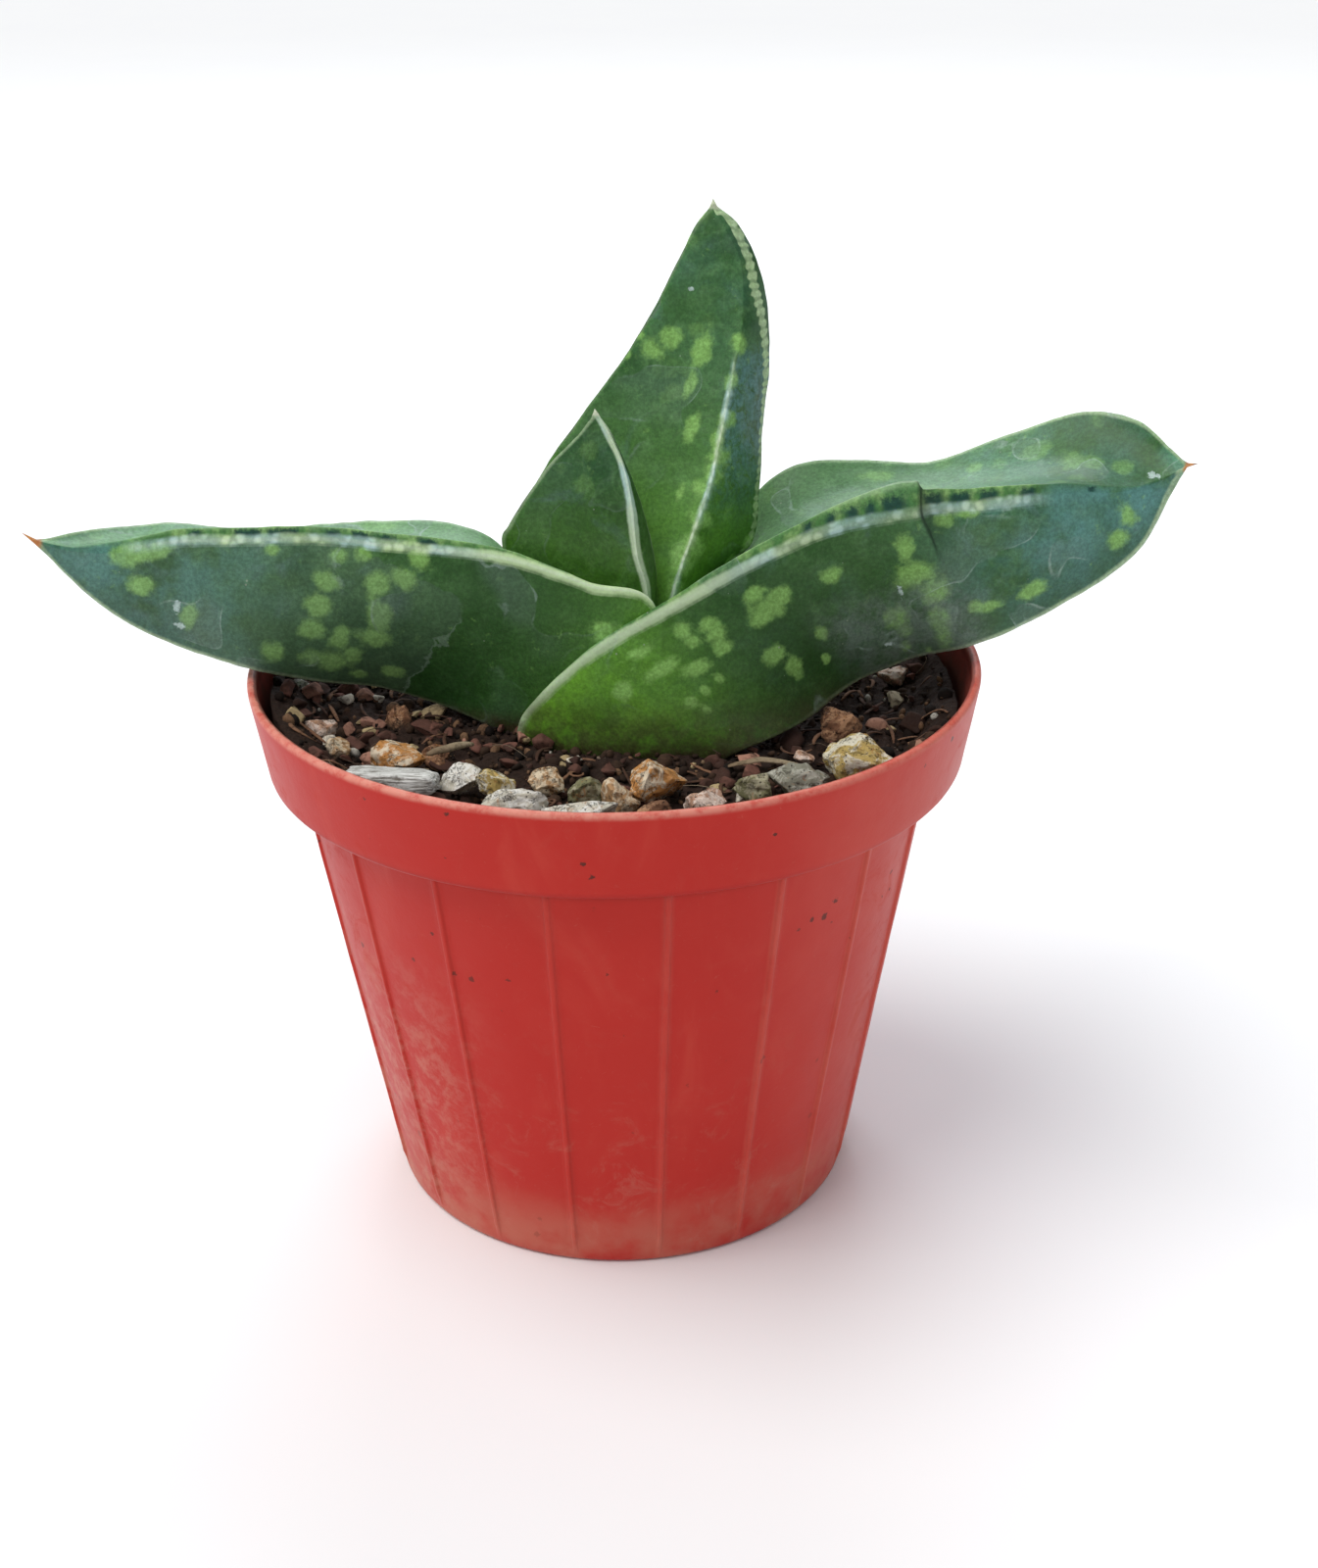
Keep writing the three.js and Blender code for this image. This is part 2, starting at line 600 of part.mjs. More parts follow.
// A leaf that lies on the lip is dented by it.
function lipSpace() {
  const inner = RIM_RADIUS - LIP_THICKNESS - FIT_GAP;
  const outer = RIM_RADIUS + FIT_GAP;
  const high = POT_HEIGHT + FIT_GAP;
  const corners = [[inner, LEDGE_LEVEL], [outer, LEDGE_LEVEL], [outer, high], [inner, high]];
  const profile = [...corners, corners[0]];
  const ring = new THREE.LatheGeometry(profile.map(([r, z]) => new THREE.Vector2(r, z)), POT_SEGMENTS);
  ring.rotateX(Math.PI / 2);
  return toSolid(ring);
}

// Each piece gives way to the ones before it, and the soil gives way to all of them.
const taken = [];

function settle(name, finish, make, avoid = taken) {
  addPart(name, cutAway(make(0), avoid), finish);
  taken.push(make(FIT_GAP));
}

addPart('pot', pot(), 'pot');
const lip = lipSpace();
for (const name of ['young_leaf', 'upright_leaf', 'left_leaf', 'right_leaf']) {
  settle(name, 'leaf', (grow) => leaf(name, grow), [...taken, lip]);
}
settle('stem', 'stem', stem);
for (let i = 0; i < ROOT_COUNT; i++) {
  settle(numbered('root', i), 'root', (grow) => root(i, grow));
}
settle('bark_slab', 'bark', barkSlab);
STONES.forEach((_, i) => settle(numbered('stone', i), 'stone', (grow) => stone(i, grow)));
TWIGS.forEach((_, i) => settle(numbered('twig', i), 'twig', (grow) => twig(i, grow)));
addPart('soil', cutAway(soilBody(), [...taken, heart()]), 'soil');

export default plant;
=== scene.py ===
"""A young gasteria in a plastic nursery pot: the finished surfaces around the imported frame."""

import math

import bmesh
import bpy
import numpy as np
from mathutils import Matrix, Vector


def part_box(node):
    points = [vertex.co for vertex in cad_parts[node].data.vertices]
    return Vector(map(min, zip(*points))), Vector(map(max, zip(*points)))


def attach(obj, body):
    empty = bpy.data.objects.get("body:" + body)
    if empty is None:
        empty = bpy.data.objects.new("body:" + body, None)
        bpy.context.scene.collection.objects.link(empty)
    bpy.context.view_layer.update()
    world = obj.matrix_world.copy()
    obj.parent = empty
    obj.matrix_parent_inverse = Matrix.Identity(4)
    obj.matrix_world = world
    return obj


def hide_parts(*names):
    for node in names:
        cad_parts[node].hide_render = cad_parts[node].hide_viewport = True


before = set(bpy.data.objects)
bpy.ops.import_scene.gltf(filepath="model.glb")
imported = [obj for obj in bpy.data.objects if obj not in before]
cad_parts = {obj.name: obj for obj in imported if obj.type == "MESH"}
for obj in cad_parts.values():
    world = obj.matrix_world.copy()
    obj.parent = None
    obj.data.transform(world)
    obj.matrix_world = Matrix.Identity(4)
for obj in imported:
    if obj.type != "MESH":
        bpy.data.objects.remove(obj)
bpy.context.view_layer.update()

MM = 0.001

# ------------------------------------------------------------------ sizes

POT_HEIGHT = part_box("pot")[1].z / MM
RIM_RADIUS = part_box("pot")[1].x / MM
COLLAR_HEIGHT = 13
COLLAR_TAPER = 2.2
LEDGE_WIDTH = 4.3
FOOT_RADIUS = 34.6
WALL = 1.2
LIP_THICKNESS = 1.5
LIP_DEPTH = 2
FOOT_RING_WIDTH = 4
PLATE_LIFT = 1.2
PAD_RADIUS = 8
RIB_COUNT = 18
RIB_WIDTH = 0.9
RIB_HEIGHT = 0.4
RIB_START_ANGLE = -82
RIB_FOOT_CLEARANCE = 2.5
DRAIN_COUNT = 8
DRAIN_RADIUS = 2.8
DRAIN_CIRCLE_RADIUS = 22

HEADSPACE = 8
SOIL_TILT = 1.4
SOIL_LEVEL = POT_HEIGHT - HEADSPACE
LEDGE_LEVEL = POT_HEIGHT - COLLAR_HEIGHT
COLLAR_FOOT_RADIUS = RIM_RADIUS - COLLAR_TAPER
WALL_TOP_RADIUS = COLLAR_FOOT_RADIUS - LEDGE_WIDTH


def wall_radius(z):
    return FOOT_RADIUS + (WALL_TOP_RADIUS - FOOT_RADIUS) * z / LEDGE_LEVEL


def collar_radius(z):
    return COLLAR_FOOT_RADIUS + COLLAR_TAPER * (z - LEDGE_LEVEL) / COLLAR_HEIGHT


# ------------------------------------------------------------------ noise and curves

def lattice(points, seed):
    """Smooth noise from -1 to 1 at points, from random values on whole-number corners."""
    base = np.floor(points).astype(np.int64)
    part = points - base
    part = part * part * (3 - 2 * part)
    total = np.zeros(len(points))
    for corner in range(8):
        step = np.array([corner & 1, corner >> 1 & 1, corner >> 2 & 1])
        weight = np.prod(np.where(step, part, 1 - part), axis=1)
        cell = base + step
        mixed = cell[:, 0] * 73856093 ^ cell[:, 1] * 19349663 ^ cell[:, 2] * 83492791 ^ seed * 2654435761
        mixed = (mixed & 0xFFFFFFFF) * 2246822519 & 0xFFFFFFFF
        mixed = (mixed ^ mixed >> 15) * 3266489917 & 0xFFFFFFFF
        mixed ^= mixed >> 16
        total += weight * (mixed / 0x7FFFFFFF - 1)
    return total


def rough(points, size, octaves=3, seed=0):
    """Layered noise whose broadest lumps are size across."""
    total, strength = np.zeros(len(points)), 1.0
    for octave in range(octaves):
        total += strength * lattice(points / size * 2**octave + 17.3 * octave, seed + octave)
        strength *= 0.5
    return total


def through(points, shares):
    """Uniform Catmull-Rom curve through points, read at shares of its length from 0 to 1."""
    points = np.asarray(points, float)
    padded = np.vstack([2 * points[0] - points[1], points, 2 * points[-1] - points[-2]])
    place = np.clip(shares, 0, 1) * (len(points) - 1)
    first = np.minimum(place.astype(int), len(points) - 2)
    t = (place - first)[:, None]
    p0, p1, p2, p3 = (padded[first + k] for k in range(4))
    v0, v1 = (p2 - p0) / 2, (p3 - p1) / 2
    return (2 * p1 - 2 * p2 + v0 + v1) * t**3 + (-3 * p1 + 3 * p2 - 2 * v0 - v1) * t**2 + v0 * t + p1


def smooth(value, low, high):
    """0 below low, 1 above high, and an even ease between them."""
    t = np.clip((value - low) / (high - low), 0, 1)
    return t * t * (3 - 2 * t)


# ------------------------------------------------------------------ meshes

def make_object(name, points_mm, faces, replaces=(), attributes=None):
    """A smooth piece of the finished model, riding on the one body."""
    mesh = bpy.data.meshes.new(name)
    mesh.from_pydata((np.asarray(points_mm) * MM).tolist(), [], [list(map(int, f)) for f in faces])
    mesh.validate()
    mesh.polygons.foreach_set("use_smooth", [True] * len(mesh.polygons))
    for key, values in (attributes or {}).items():
        layer = mesh.attributes.new(key, "FLOAT", "POINT")
        layer.data.foreach_set("value", np.asarray(values, np.float32))
    thing = bpy.data.objects.new(name, mesh)
    bpy.context.scene.collection.objects.link(thing)
    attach(thing, "root")
    if replaces:
        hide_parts(*replaces)
    return thing


def skin_faces(rings, around):
    """Faces over rings of points, with one extra point before the first ring and one after the last."""
    ring, k = np.meshgrid(np.arange(rings - 1), np.arange(around), indexing="ij")
    after = (k + 1) % around
    at = lambda r, c: 1 + r * around + c
    quads = np.stack([at(ring, k), at(ring, after), at(ring + 1, after), at(ring + 1, k)], -1).reshape(-1, 4)
    k = np.arange(around)
    after = (k + 1) % around
    start = np.stack([np.zeros_like(k), at(0, after), at(0, k)], -1)
    end = np.stack([np.full_like(k, rings * around + 1), at(rings - 1, k), at(rings - 1, after)], -1)
    return [*quads.tolist(), *start.tolist(), *end.tolist()]


def outwards(points, faces):
    """The same faces, turned round if they point into the solid."""
    p, q, r, s = (np.asarray(points)[corner] for corner in np.array([f for f in faces if len(f) == 4]).T)
    volume = (p * (np.cross(q, r) + np.cross(r, s))).sum()
    return [f[::-1] for f in faces] if volume < 0 else faces


# ------------------------------------------------------------------ material notation

class Wire:
    """A node's output, which can be added, subtracted and multiplied."""

    def __init__(self, paint, socket):
        self.paint, self.socket = paint, socket

    def __add__(self, other):
        return self.paint.math("ADD", self, other)

    def __radd__(self, other):
        return self.paint.math("ADD", other, self)

    def __sub__(self, other):
        return self.paint.math("SUBTRACT", self, other)

    def __rsub__(self, other):
        return self.paint.math("SUBTRACT", other, self)

    def __mul__(self, other):
        return self.paint.math("MULTIPLY", self, other)

    def __rmul__(self, other):
        return self.paint.math("MULTIPLY", other, self)


class Paint:
    """Short words for the nodes of one material."""

    def __init__(self, name):
        self.material = bpy.data.materials.new(name)
        self.material.use_nodes = True
        self.tree = self.material.node_tree
        self.tree.nodes.clear()
        self.coordinates = self.wire(self.node("ShaderNodeTexCoord"), "Object")

    def node(self, kind, **settings):
        made = self.tree.nodes.new(kind)
        for key, value in settings.items():
            setattr(made, key, value)
        return made

    def wire(self, node, output=0):
        return Wire(self, node.outputs[output])

    def put(self, socket, value):
        if isinstance(value, Wire):
            self.tree.links.new(value.socket, socket)
        elif isinstance(value, (tuple, list)) and len(value) == 3 and socket.type == "RGBA":
            socket.default_value = (*value, 1)
        else:
            socket.default_value = value

    def field(self, name):
        return self.wire(self.node("ShaderNodeAttribute", attribute_name=name), "Fac")

    def mm(self, stretch=(1, 1, 1)):
        """Object coordinates in millimetres."""
        scaled = self.node("ShaderNodeVectorMath", operation="MULTIPLY")
        self.put(scaled.inputs[0], self.coordinates)
        scaled.inputs[1].default_value = tuple(s / MM for s in stretch)
        return self.wire(scaled)

    def vector(self, x, y, z=0.0):
        made = self.node("ShaderNodeCombineXYZ")
        for socket, value in zip(made.inputs, (x, y, z)):
            self.put(socket, value)
        return self.wire(made)

    def noise(self, size, detail=3.0, roughness=0.55, warp=0.0, vector=None, shift=0.0):
        """Noise from 0 to 1 whose lumps are size mm across."""
        made = self.node("ShaderNodeTexNoise")
        self.put(made.inputs["Vector"], self.shifted(vector, shift))
        made.inputs["Scale"].default_value = 1 / size
        made.inputs["Detail"].default_value = detail
        made.inputs["Roughness"].default_value = roughness
        made.inputs["Distortion"].default_value = warp
        return self.wire(made, "Fac")

    def shifted(self, vector, shift):
        source = vector or self.mm()
        if not shift:
            return source
        moved = self.node("ShaderNodeVectorMath", operation="ADD")
        self.put(moved.inputs[0], source)
        moved.inputs[1].default_value = (shift, shift * 0.7, -shift)
        return self.wire(moved)

    def cells(self, size, vector=None, shift=0.0):
        """Distance to the nearest of points scattered size mm apart, as a share of size."""
        made = self.node("ShaderNodeTexVoronoi", feature="F1")
        self.put(made.inputs["Vector"], self.shifted(vector, shift))
        made.inputs["Scale"].default_value = 1 / size
        made.inputs["Randomness"].default_value = 1.0
        return self.wire(made, "Distance")

    def math(self, operation, a, b=0.0):
        made = self.node("ShaderNodeMath", operation=operation)
        for socket, value in zip(made.inputs, (a, b)):
            self.put(socket, value)
        return self.wire(made)

    def ease(self, value, low, high, to_low=0.0, to_high=1.0):
        made = self.node("ShaderNodeMapRange", interpolation_type="SMOOTHSTEP")
        for socket, number in zip(made.inputs, (value, low, high, to_low, to_high)):
            self.put(socket, number)
        return self.wire(made)

    def stripe(self, distance, width, soft):
        """1 within width of where distance is 0, fading over soft."""
        return self.ease(self.math("ABSOLUTE", distance), width, width + soft, 1.0, 0.0)

    def mix(self, share, a, b, blend="MIX"):
        made = self.node("ShaderNodeMix", data_type="RGBA", blend_type=blend)
        self.put(made.inputs[0], share)
        self.put(made.inputs[6], a)
        self.put(made.inputs[7], b)
        return self.wire(made, 2)

    def bump(self, height, depth_mm, normal=None):
        made = self.node("ShaderNodeBump")
        made.inputs["Strength"].default_value = 1.0
        made.inputs["Distance"].default_value = depth_mm * MM
        self.put(made.inputs["Height"], height)
        if normal is not None:
            self.put(made.inputs["Normal"], normal)
        return self.wire(made)

    def finish(self, colour, roughness, normal=None, **plain):
        shader = self.node("ShaderNodeBsdfPrincipled")
        self.put(shader.inputs["Base Color"], colour)
        self.put(shader.inputs["Roughness"], roughness)
        if normal is not None:
            self.put(shader.inputs["Normal"], normal)
        for key, value in plain.items():
            shader.inputs[key].default_value = value
        out = self.node("ShaderNodeOutputMaterial")
        self.put(out.inputs["Surface"], self.wire(shader))
        return self.material


# ------------------------------------------------------------------ leaves

# The same three edges as the frame's leaves: a and b are the margins of the hollow upper face and c is
# the keel. Points are [outwards, back, up] in hundredths of the leaf's reach, with up counted from the soil.
LEAVES = {
    "left_leaf": {
        "outwards": -1, "hollow": 16, "swell": 7, "tip": [100, -4.5, 36],
        "b": [[-4, -10, -9], [-7.5, -14, 22.5], [4, -12, 27], [17, -9.5, 31], [30.5, -7.5, 32.5],
              [45.5, -6, 34], [58.5, -6, 34.4], [71.5, -6, 34.2], [83.5, -6, 33], [91.5, -5.5, 33.3],
              [97.5, -5, 34.5]],
        "c": [[10, -10, -12], [14.5, -11.5, -5], [22, -9, 0], [32.5, -3.5, 2.5], [42.5, -3.5, 5.5],
              [54, -5.5, 8], [64, -8, 11.5], [75.5, -7.5, 15.5], [85, -7.5, 21], [92.5, -6.5, 27.5],
              [98, -5, 34]],
        "a": [[7.5, 7.5, -10], [12.5, 13, 13], [19.5, 16, 25], [27, 17, 29.5], [37.5, 18.5, 30],
              [51.5, 18.5, 29.5], [63.5, 17, 29], [75, 13.5, 31.5], [86, 8.5, 33], [93, 1, 34.5],
              [97.5, -4.5, 34.8]],
    },
    "right_leaf": {
        "outwards": 1, "hollow": 16, "swell": 7, "tip": [100, 0.5, 43],
        "b": [[-6, -12, -9], [-17, -14, 0.5], [-6, -17, 15], [8, -16, 23.5], [22, -13.5, 30.5],
              [36.5, -11, 36], [50.5, -10, 38.5], [63, -8.5, 39], [75.5, -6.5, 39.5], [86.5, -3.5, 39],
              [93.5, -1, 40.5], [98, 0, 42.5]],
        "c": [[10, -12, -12], [14.5, -20, -5], [21.5, -21, 0], [32, -16, 2.5], [41, -9.5, 6.5],
              [51.5, -6, 10], [61.5, -7, 12.5], [71.5, -6, 16], [82, -5, 22], [90.5, -3, 28],
              [95.5, -1, 37], [98, 0, 42.5]],
        "a": [[7.5, 8.5, -10], [11, 14.5, 6], [17, 17, 20.5], [25, 19.5, 33], [33.5, 20.5, 38.5],
              [45, 20.5, 39], [57, 19.5, 39], [70.5, 18.5, 44], [82.5, 14.5, 49], [90.5, 8.5, 49.2],
              [95, 2.5, 46], [98.3, 0.5, 43.3]],
    },
    "upright_leaf": {
        "outwards": 1, "hollow": 6, "swell": 5, "tip": [20.8, 21, 98.5],
        "a": [[-8.5, -1.5, -10], [-14, 0, 7], [-18.5, 3, 24], [-19.5, 5.5, 38], [-13.2, 8.5, 50],
              [-6, 11.5, 59], [2.4, 15.5, 69.5], [8.2, 17.5, 78.5], [13, 19.5, 87], [16.8, 21, 93.5],
              [20, 21, 97]],
        "b": [[5.5, -7, -11], [7, -9, 7], [12, -7, 27.5], [15.5, -3, 36], [19.5, 1.5, 46.5], [22, 5.5, 56],
              [24.5, 10, 66.5], [26.5, 14, 76.5], [26, 17.5, 86.5], [23, 19.5, 93], [20.8, 20.8, 97]],
        "c": [[12.5, 1.5, -11], [18.5, 3, 7], [21, 5.5, 24], [29, 8.5, 32.5], [30.5, 12.5, 43.5],
              [31.5, 17, 54], [32.7, 19.5, 66], [32.2, 21, 77.5], [30.5, 22, 85.5], [27, 22, 92.5],
              [21.8, 21.3, 97]],
    },
    "young_leaf": {
        "outwards": 1, "hollow": 3, "swell": 5, "tip": [-4.7, -2, 98.5],
        "a": [[-11, -6.5, -15], [-26.5, -6.5, 15.5], [-34.5, -5.5, 54.5], [-32.5, -4.5, 63.5],
              [-26.5, -3.5, 73], [-19, -2, 82.5], [-10.5, -2, 91], [-5.5, -2, 97]],
        "b": [[6.5, -15.5, -17.5], [9, -20, 15.5], [10.5, -19, 42.5], [7.5, -17.5, 56.5], [6, -14.5, 71],
              [4, -11, 82], [0, -6.5, 90.5], [-3.5, -3, 97]],
        "c": [[11, -6.5, -15.5], [13, -9, 15.5], [13.5, -9, 42], [12.5, -7.5, 56], [9.5, -5.5, 68],
              [5.5, -3.5, 80], [1, -2, 90], [-4, -1.5, 97]],
    },
}


def by_leaf(*values):
    """One value for each leaf: left, right, upright and young."""
    return dict(zip(LEAVES, values))


# How far the blunt edges a, b and c reach in mm.
EDGE_WIDTHS = by_leaf((0.7, 0.7, 0.8), (0.7, 0.8, 1.0), (0.8, 0.8, 0.9), (0.6, 0.7, 0.6))
# How high edge b's bevel stands in mm, at shares of the way from the base to the tip, and how far it
# leans back for its height.
RIMS = by_leaf(
    ((0, 0.12, 0.2, 0.28, 0.38, 0.72, 0.82, 0.9, 1), (0.4, 0.6, 0.9, 1.3, 1.9, 1.9, 1.2, 0.3, 0.1)),
    ((0, 0.1, 0.25, 0.35, 0.45, 0.53, 0.56, 0.66, 0.75, 0.85, 1),
        (0.5, 0.8, 1.6, 2.1, 2.8, 3.4, 2.9, 2.5, 1.7, 0.5, 0.1)),
    ((0, 1), (0.5, 0.1)),
    ((0, 1), (0.4, 0.1)),
)
RIM_LEAN = 0.36
# The line along edge b, part real pale margin and part painted gloss highlight: its strength at shares of
# the way to the tip.
LINES = by_leaf(
    ((0, 0.1, 0.38, 0.7, 0.76, 0.8), (0.7, 0.9, 1.0, 1.0, 0.6, 0.0)),
    ((0, 0.1, 0.3, 0.4, 0.54, 0.56, 0.66, 0.72), (0.7, 0.85, 1.0, 0.95, 0.6, 1.0, 1.0, 0.0)),
    ((0, 0.1, 0.3, 0.55, 0.64), (0.9, 1.0, 1.0, 1.0, 0.0)),
    ((0, 0.95, 1), (1.0, 0.9, 0.5)),
)
# Dark dashes on the bevel of edge b, from and to, in hundredths of the way to the tip.
DASHES = by_leaf(
    [(39.5, 42), (44.3, 45.6), (46.7, 49), (50.8, 52.4), (56, 59.8), (60.6, 64.2), (68.4, 69.8)],
    [(42.4, 43.6), (45.2, 45.9), (47, 48.4), (49, 50.1), (50.6, 53.2), (55.6, 58), (58.6, 61.4),
        (62.4, 64.6), (67.6, 69.2), (76.6, 77.2)],
    [(25.5, 28), (31, 33), (36, 40), (47, 50), (53, 56)],
    [],
)
RINGS, SIDE_POINTS, CORNER_POINTS, BEVEL_POINTS = 320, 34, 9, 17
RING_CROWDING = 1.25
EDGE_WAVE, EDGE_WAVE_SIZE = 0.14, 9.0
# The skin's unevenness: height in mm, size in mm, layers and seed.
SKIN_SWELLS = ((0.16, 7.0, 3, 11), (0.035, 1.6, 2, 19))
BEAD_HEIGHT, BEAD_SIZE = 0.08, 1.6
# Stands for a distance that has no meaning on a face, and for one too small to divide by, in mm.
FAR, TINY = 60.0, 0.001
# Where the line on edge b lies from its foot, and its half width, in mm.
RIDGE = by_leaf((-0.05, 0.34), (-0.05, 0.42), (0.1, 0.5), (0.1, 0.74))
# How strong the pale line on edge a is.
MARGIN = by_leaf(1.0, 1.0, 0.35, 1.0)
# Where along the leaf that line takes on a painted bluish sky reflection, and its colour before that.
LINE_REFLECTION = by_leaf((0.3, 0.42), (0.3, 0.42), (0.1, 0.3), (0.4, 0.7))
LINE_TONE = by_leaf((0.6, 0.78, 0.43), (0.5, 0.64, 0.39), (0.56, 0.72, 0.42), (0.58, 0.72, 0.48))
# The colour of the dried tip.
TIP_TONE = by_leaf((0.48, 0.18, 0.06), (0.48, 0.18, 0.06), (0.56, 0.6, 0.43), (0.64, 0.68, 0.52))
# How light the whole skin is.
SHADE = by_leaf(1.0, 1.0, 0.96, 0.78)
# How strong the painted highlight along the middle of the line on edge b is.
GLINT = by_leaf(0.45, 0.22, 0.5, 0.45)
# Half the width of the pale line on edge c in mm.
KEEL = by_leaf(0.7, 1.1, 0.4, 0.5)
# Where along the leaf the line on edge b turns from smooth to beaded.
BEADED = by_leaf((0.3, 0.42), (0.33, 0.42), (-1, 0), (2, 3))
# How strong the painted bluish sky reflection on the outer half is, how much paler the upper face is
# painted for the light it catches, and how strong its watermarks are.
SKY_REFLECTION = by_leaf(0.75, 0.9, 0.15, 0.1)
UPPER_FACE_LIGHT = by_leaf(0.75, 0.4, 0.12, 0.0)
MARKED = by_leaf(1.0, 0.8, 0.6, 0.25)
# How strongly the spots show on the upper face.
UPPER_SPOTS = by_leaf(0.45, 0.45, 1.0, 1.0)
# The colour of the top of the bevel.
BEVEL_TOP = by_leaf((0.22, 0.38, 0.17), (0.11, 0.26, 0.08), (0.08, 0.22, 0.06), (0.4, 0.56, 0.33))


def reach_of(name):
    low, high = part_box(name)
    tip = LEAVES[name]["tip"]
    if name in ("left_leaf", "right_leaf"):
        return max(-low.x, high.x) / MM / (tip[0] / 100)
    return (high.z / MM - SOIL_LEVEL) / (tip[2] / 100)


def section_side(start, end, middle, bow, blunt_start, blunt_end):
    """Points across one side of every section, short of its corners, bowed out by a share of its width."""
    across = end - start
    width = np.maximum(np.linalg.norm(across, axis=1, keepdims=True), TINY)
    outward = (start + end) / 2 - middle
    outward -= across * (outward * across).sum(1, keepdims=True) / width**2
    outward /= np.maximum(np.linalg.norm(outward, axis=1, keepdims=True), TINY)
    first = np.minimum(blunt_start / width, 0.25)
    last = 1 - np.minimum(blunt_end / width, 0.25)
    share = first[:, :, None] + (last - first)[:, :, None] * np.linspace(0, 1, SIDE_POINTS)[None, :, None]
    bowed = 4 * share * (1 - share) * bow * width[:, :, None]
    points = start[:, None] + across[:, None] * share + outward[:, None] * bowed
    return points, share[:, :, 0] * width


def section_corner(before, corner, after, squareness=0.45):
    """Rounds a corner between the ends of two sides: squareness is how far it fills towards the corner."""
    t = np.linspace(0, 1, CORNER_POINTS + 2)[None, 1:-1, None]
    straight = before[:, None] * (1 - t) + after[:, None] * t
    round_ = before[:, None] * (1 - t) ** 2 + corner[:, None] * 2 * t * (1 - t) + after[:, None] * t**2
    return straight * (1 - squareness) + round_ * squareness


def bevel(before, top, foot, after):
    """Points over a rounded rim and down a narrow face to its foot, then round that onto the next side."""
    corners = np.stack([before, top * 0.75 + before * 0.25, top * 0.5 + foot * 0.5, foot, after], 1)
    t = np.linspace(0, 1, BEVEL_POINTS + 2)[1:-1]
    weights = np.stack([math.comb(4, k) * t**k * (1 - t) ** (4 - k) for k in range(5)], 1)
    curved = np.einsum("tk,rkc->rtc", weights, corners)
    place = t * 4
    first = np.minimum(place.astype(int), 3)
    part = (place - first)[None, :, None]
    straight = corners[:, first] * (1 - part) + corners[:, first + 1] * part
    return straight * 0.6 + curved * 0.4


def leaf_shape(name):
    """Rings of points for a leaf, in mm, and the fields that its paint reads."""
    shape = LEAVES[name]
    reach = reach_of(name)
    place = lambda p: np.array([shape["outwards"] * p[0], p[1], p[2]]) * reach / 100 + [0, 0, SOIL_LEVEL]
    # Rings crowd towards the tip, where the outline turns fastest.
    u = 1 - (1 - np.linspace(0, 1, RINGS)) ** RING_CROWDING
    a, b, c = (through([place(p) for p in shape[edge]], u) for edge in "abc")
    for edge, seed in ((a, 3), (b, 5), (c, 9)):
        wave = np.stack([rough(edge + 40 * k, EDGE_WAVE_SIZE, 2, seed + k) for k in range(3)], 1)
        edge += EDGE_WAVE * wave * smooth(1 - u, 0, 0.1)[:, None]
    middle = (a + b + c) / 3
    blunt_a, blunt_b, blunt_c = EDGE_WIDTHS[name]
    rim = np.interp(u, *RIMS[name])[:, None]
    rim_top = b + rim * [0, RIM_LEAN, 1]
    upper, upper_run = section_side(a, rim_top, middle, -shape["hollow"] / 100, blunt_a, 0.35)
    front, front_run = section_side(b, c, middle, shape["swell"] / 100, blunt_b, blunt_c)
    back, back_run = section_side(c, a, middle, shape["swell"] / 100, blunt_c, blunt_a)
    corner_b = bevel(upper[:, -1], rim_top, b, front[:, 0])
    corner_c = section_corner(front[:, -1], c, back[:, 0])
    corner_a = section_corner(back[:, -1], a, upper[:, 0])
    rings = np.concatenate([upper, corner_b, front, corner_c, back, corner_a], axis=1)

    ab, bc, ca = (np.linalg.norm(p - q, axis=1)[:, None] + TINY for p, q in ((a, rim_top), (b, c), (c, a)))
    side, turn_, tilt = (np.ones((RINGS, k)) for k in (SIDE_POINTS, CORNER_POINTS, BEVEL_POINTS))
    slide = np.linspace(0, 1, CORNER_POINTS) * turn_
    down = np.linspace(0, 1, BEVEL_POINTS) * tilt
    # Each list runs round the section: upper face, bevel b, front face, corner c, back face, corner a.
    fields = {
        "from_b": [upper_run - ab - rim, -rim + down * (rim + blunt_b), front_run,
                   bc * turn_, FAR * side, -ab * turn_],
        "from_a": [upper_run, ab * tilt, FAR * side, ca * turn_, ca - back_run, 0 * turn_],
        "from_c": [FAR * side, bc * tilt, bc - front_run, 0 * turn_, back_run, ca * turn_],
        "side": [0 * side, down, side, 1 + slide, 2 * side, 2 * turn_],
        "across": [1 - upper_run / ab, 0 * tilt, front_run / bc, turn_, 1 - back_run / ca, turn_],
    }
    fields = {key: np.concatenate(parts, axis=1) for key, parts in fields.items()}
    fields["u"] = np.broadcast_to(u[:, None], rings.shape[:2])
    fields["rim"] = -fields["from_b"] / rim
    run = np.concatenate([[0], np.cumsum(np.linalg.norm(np.diff(middle, axis=0), axis=1))])
    fields["run"] = np.broadcast_to(run[:, None], rings.shape[:2])
    return rings, fields, place(shape["tip"])


def ring_normals(rings):
    along = np.gradient(rings, axis=0)
    around = np.roll(rings, -1, axis=1) - np.roll(rings, 1, axis=1)
    normal = np.cross(around, along)
    normal /= np.linalg.norm(normal, axis=2, keepdims=True) + 1e-12
    outward = (normal * (rings - rings.mean(1, keepdims=True))).sum()
    return normal if outward > 0 else -normal


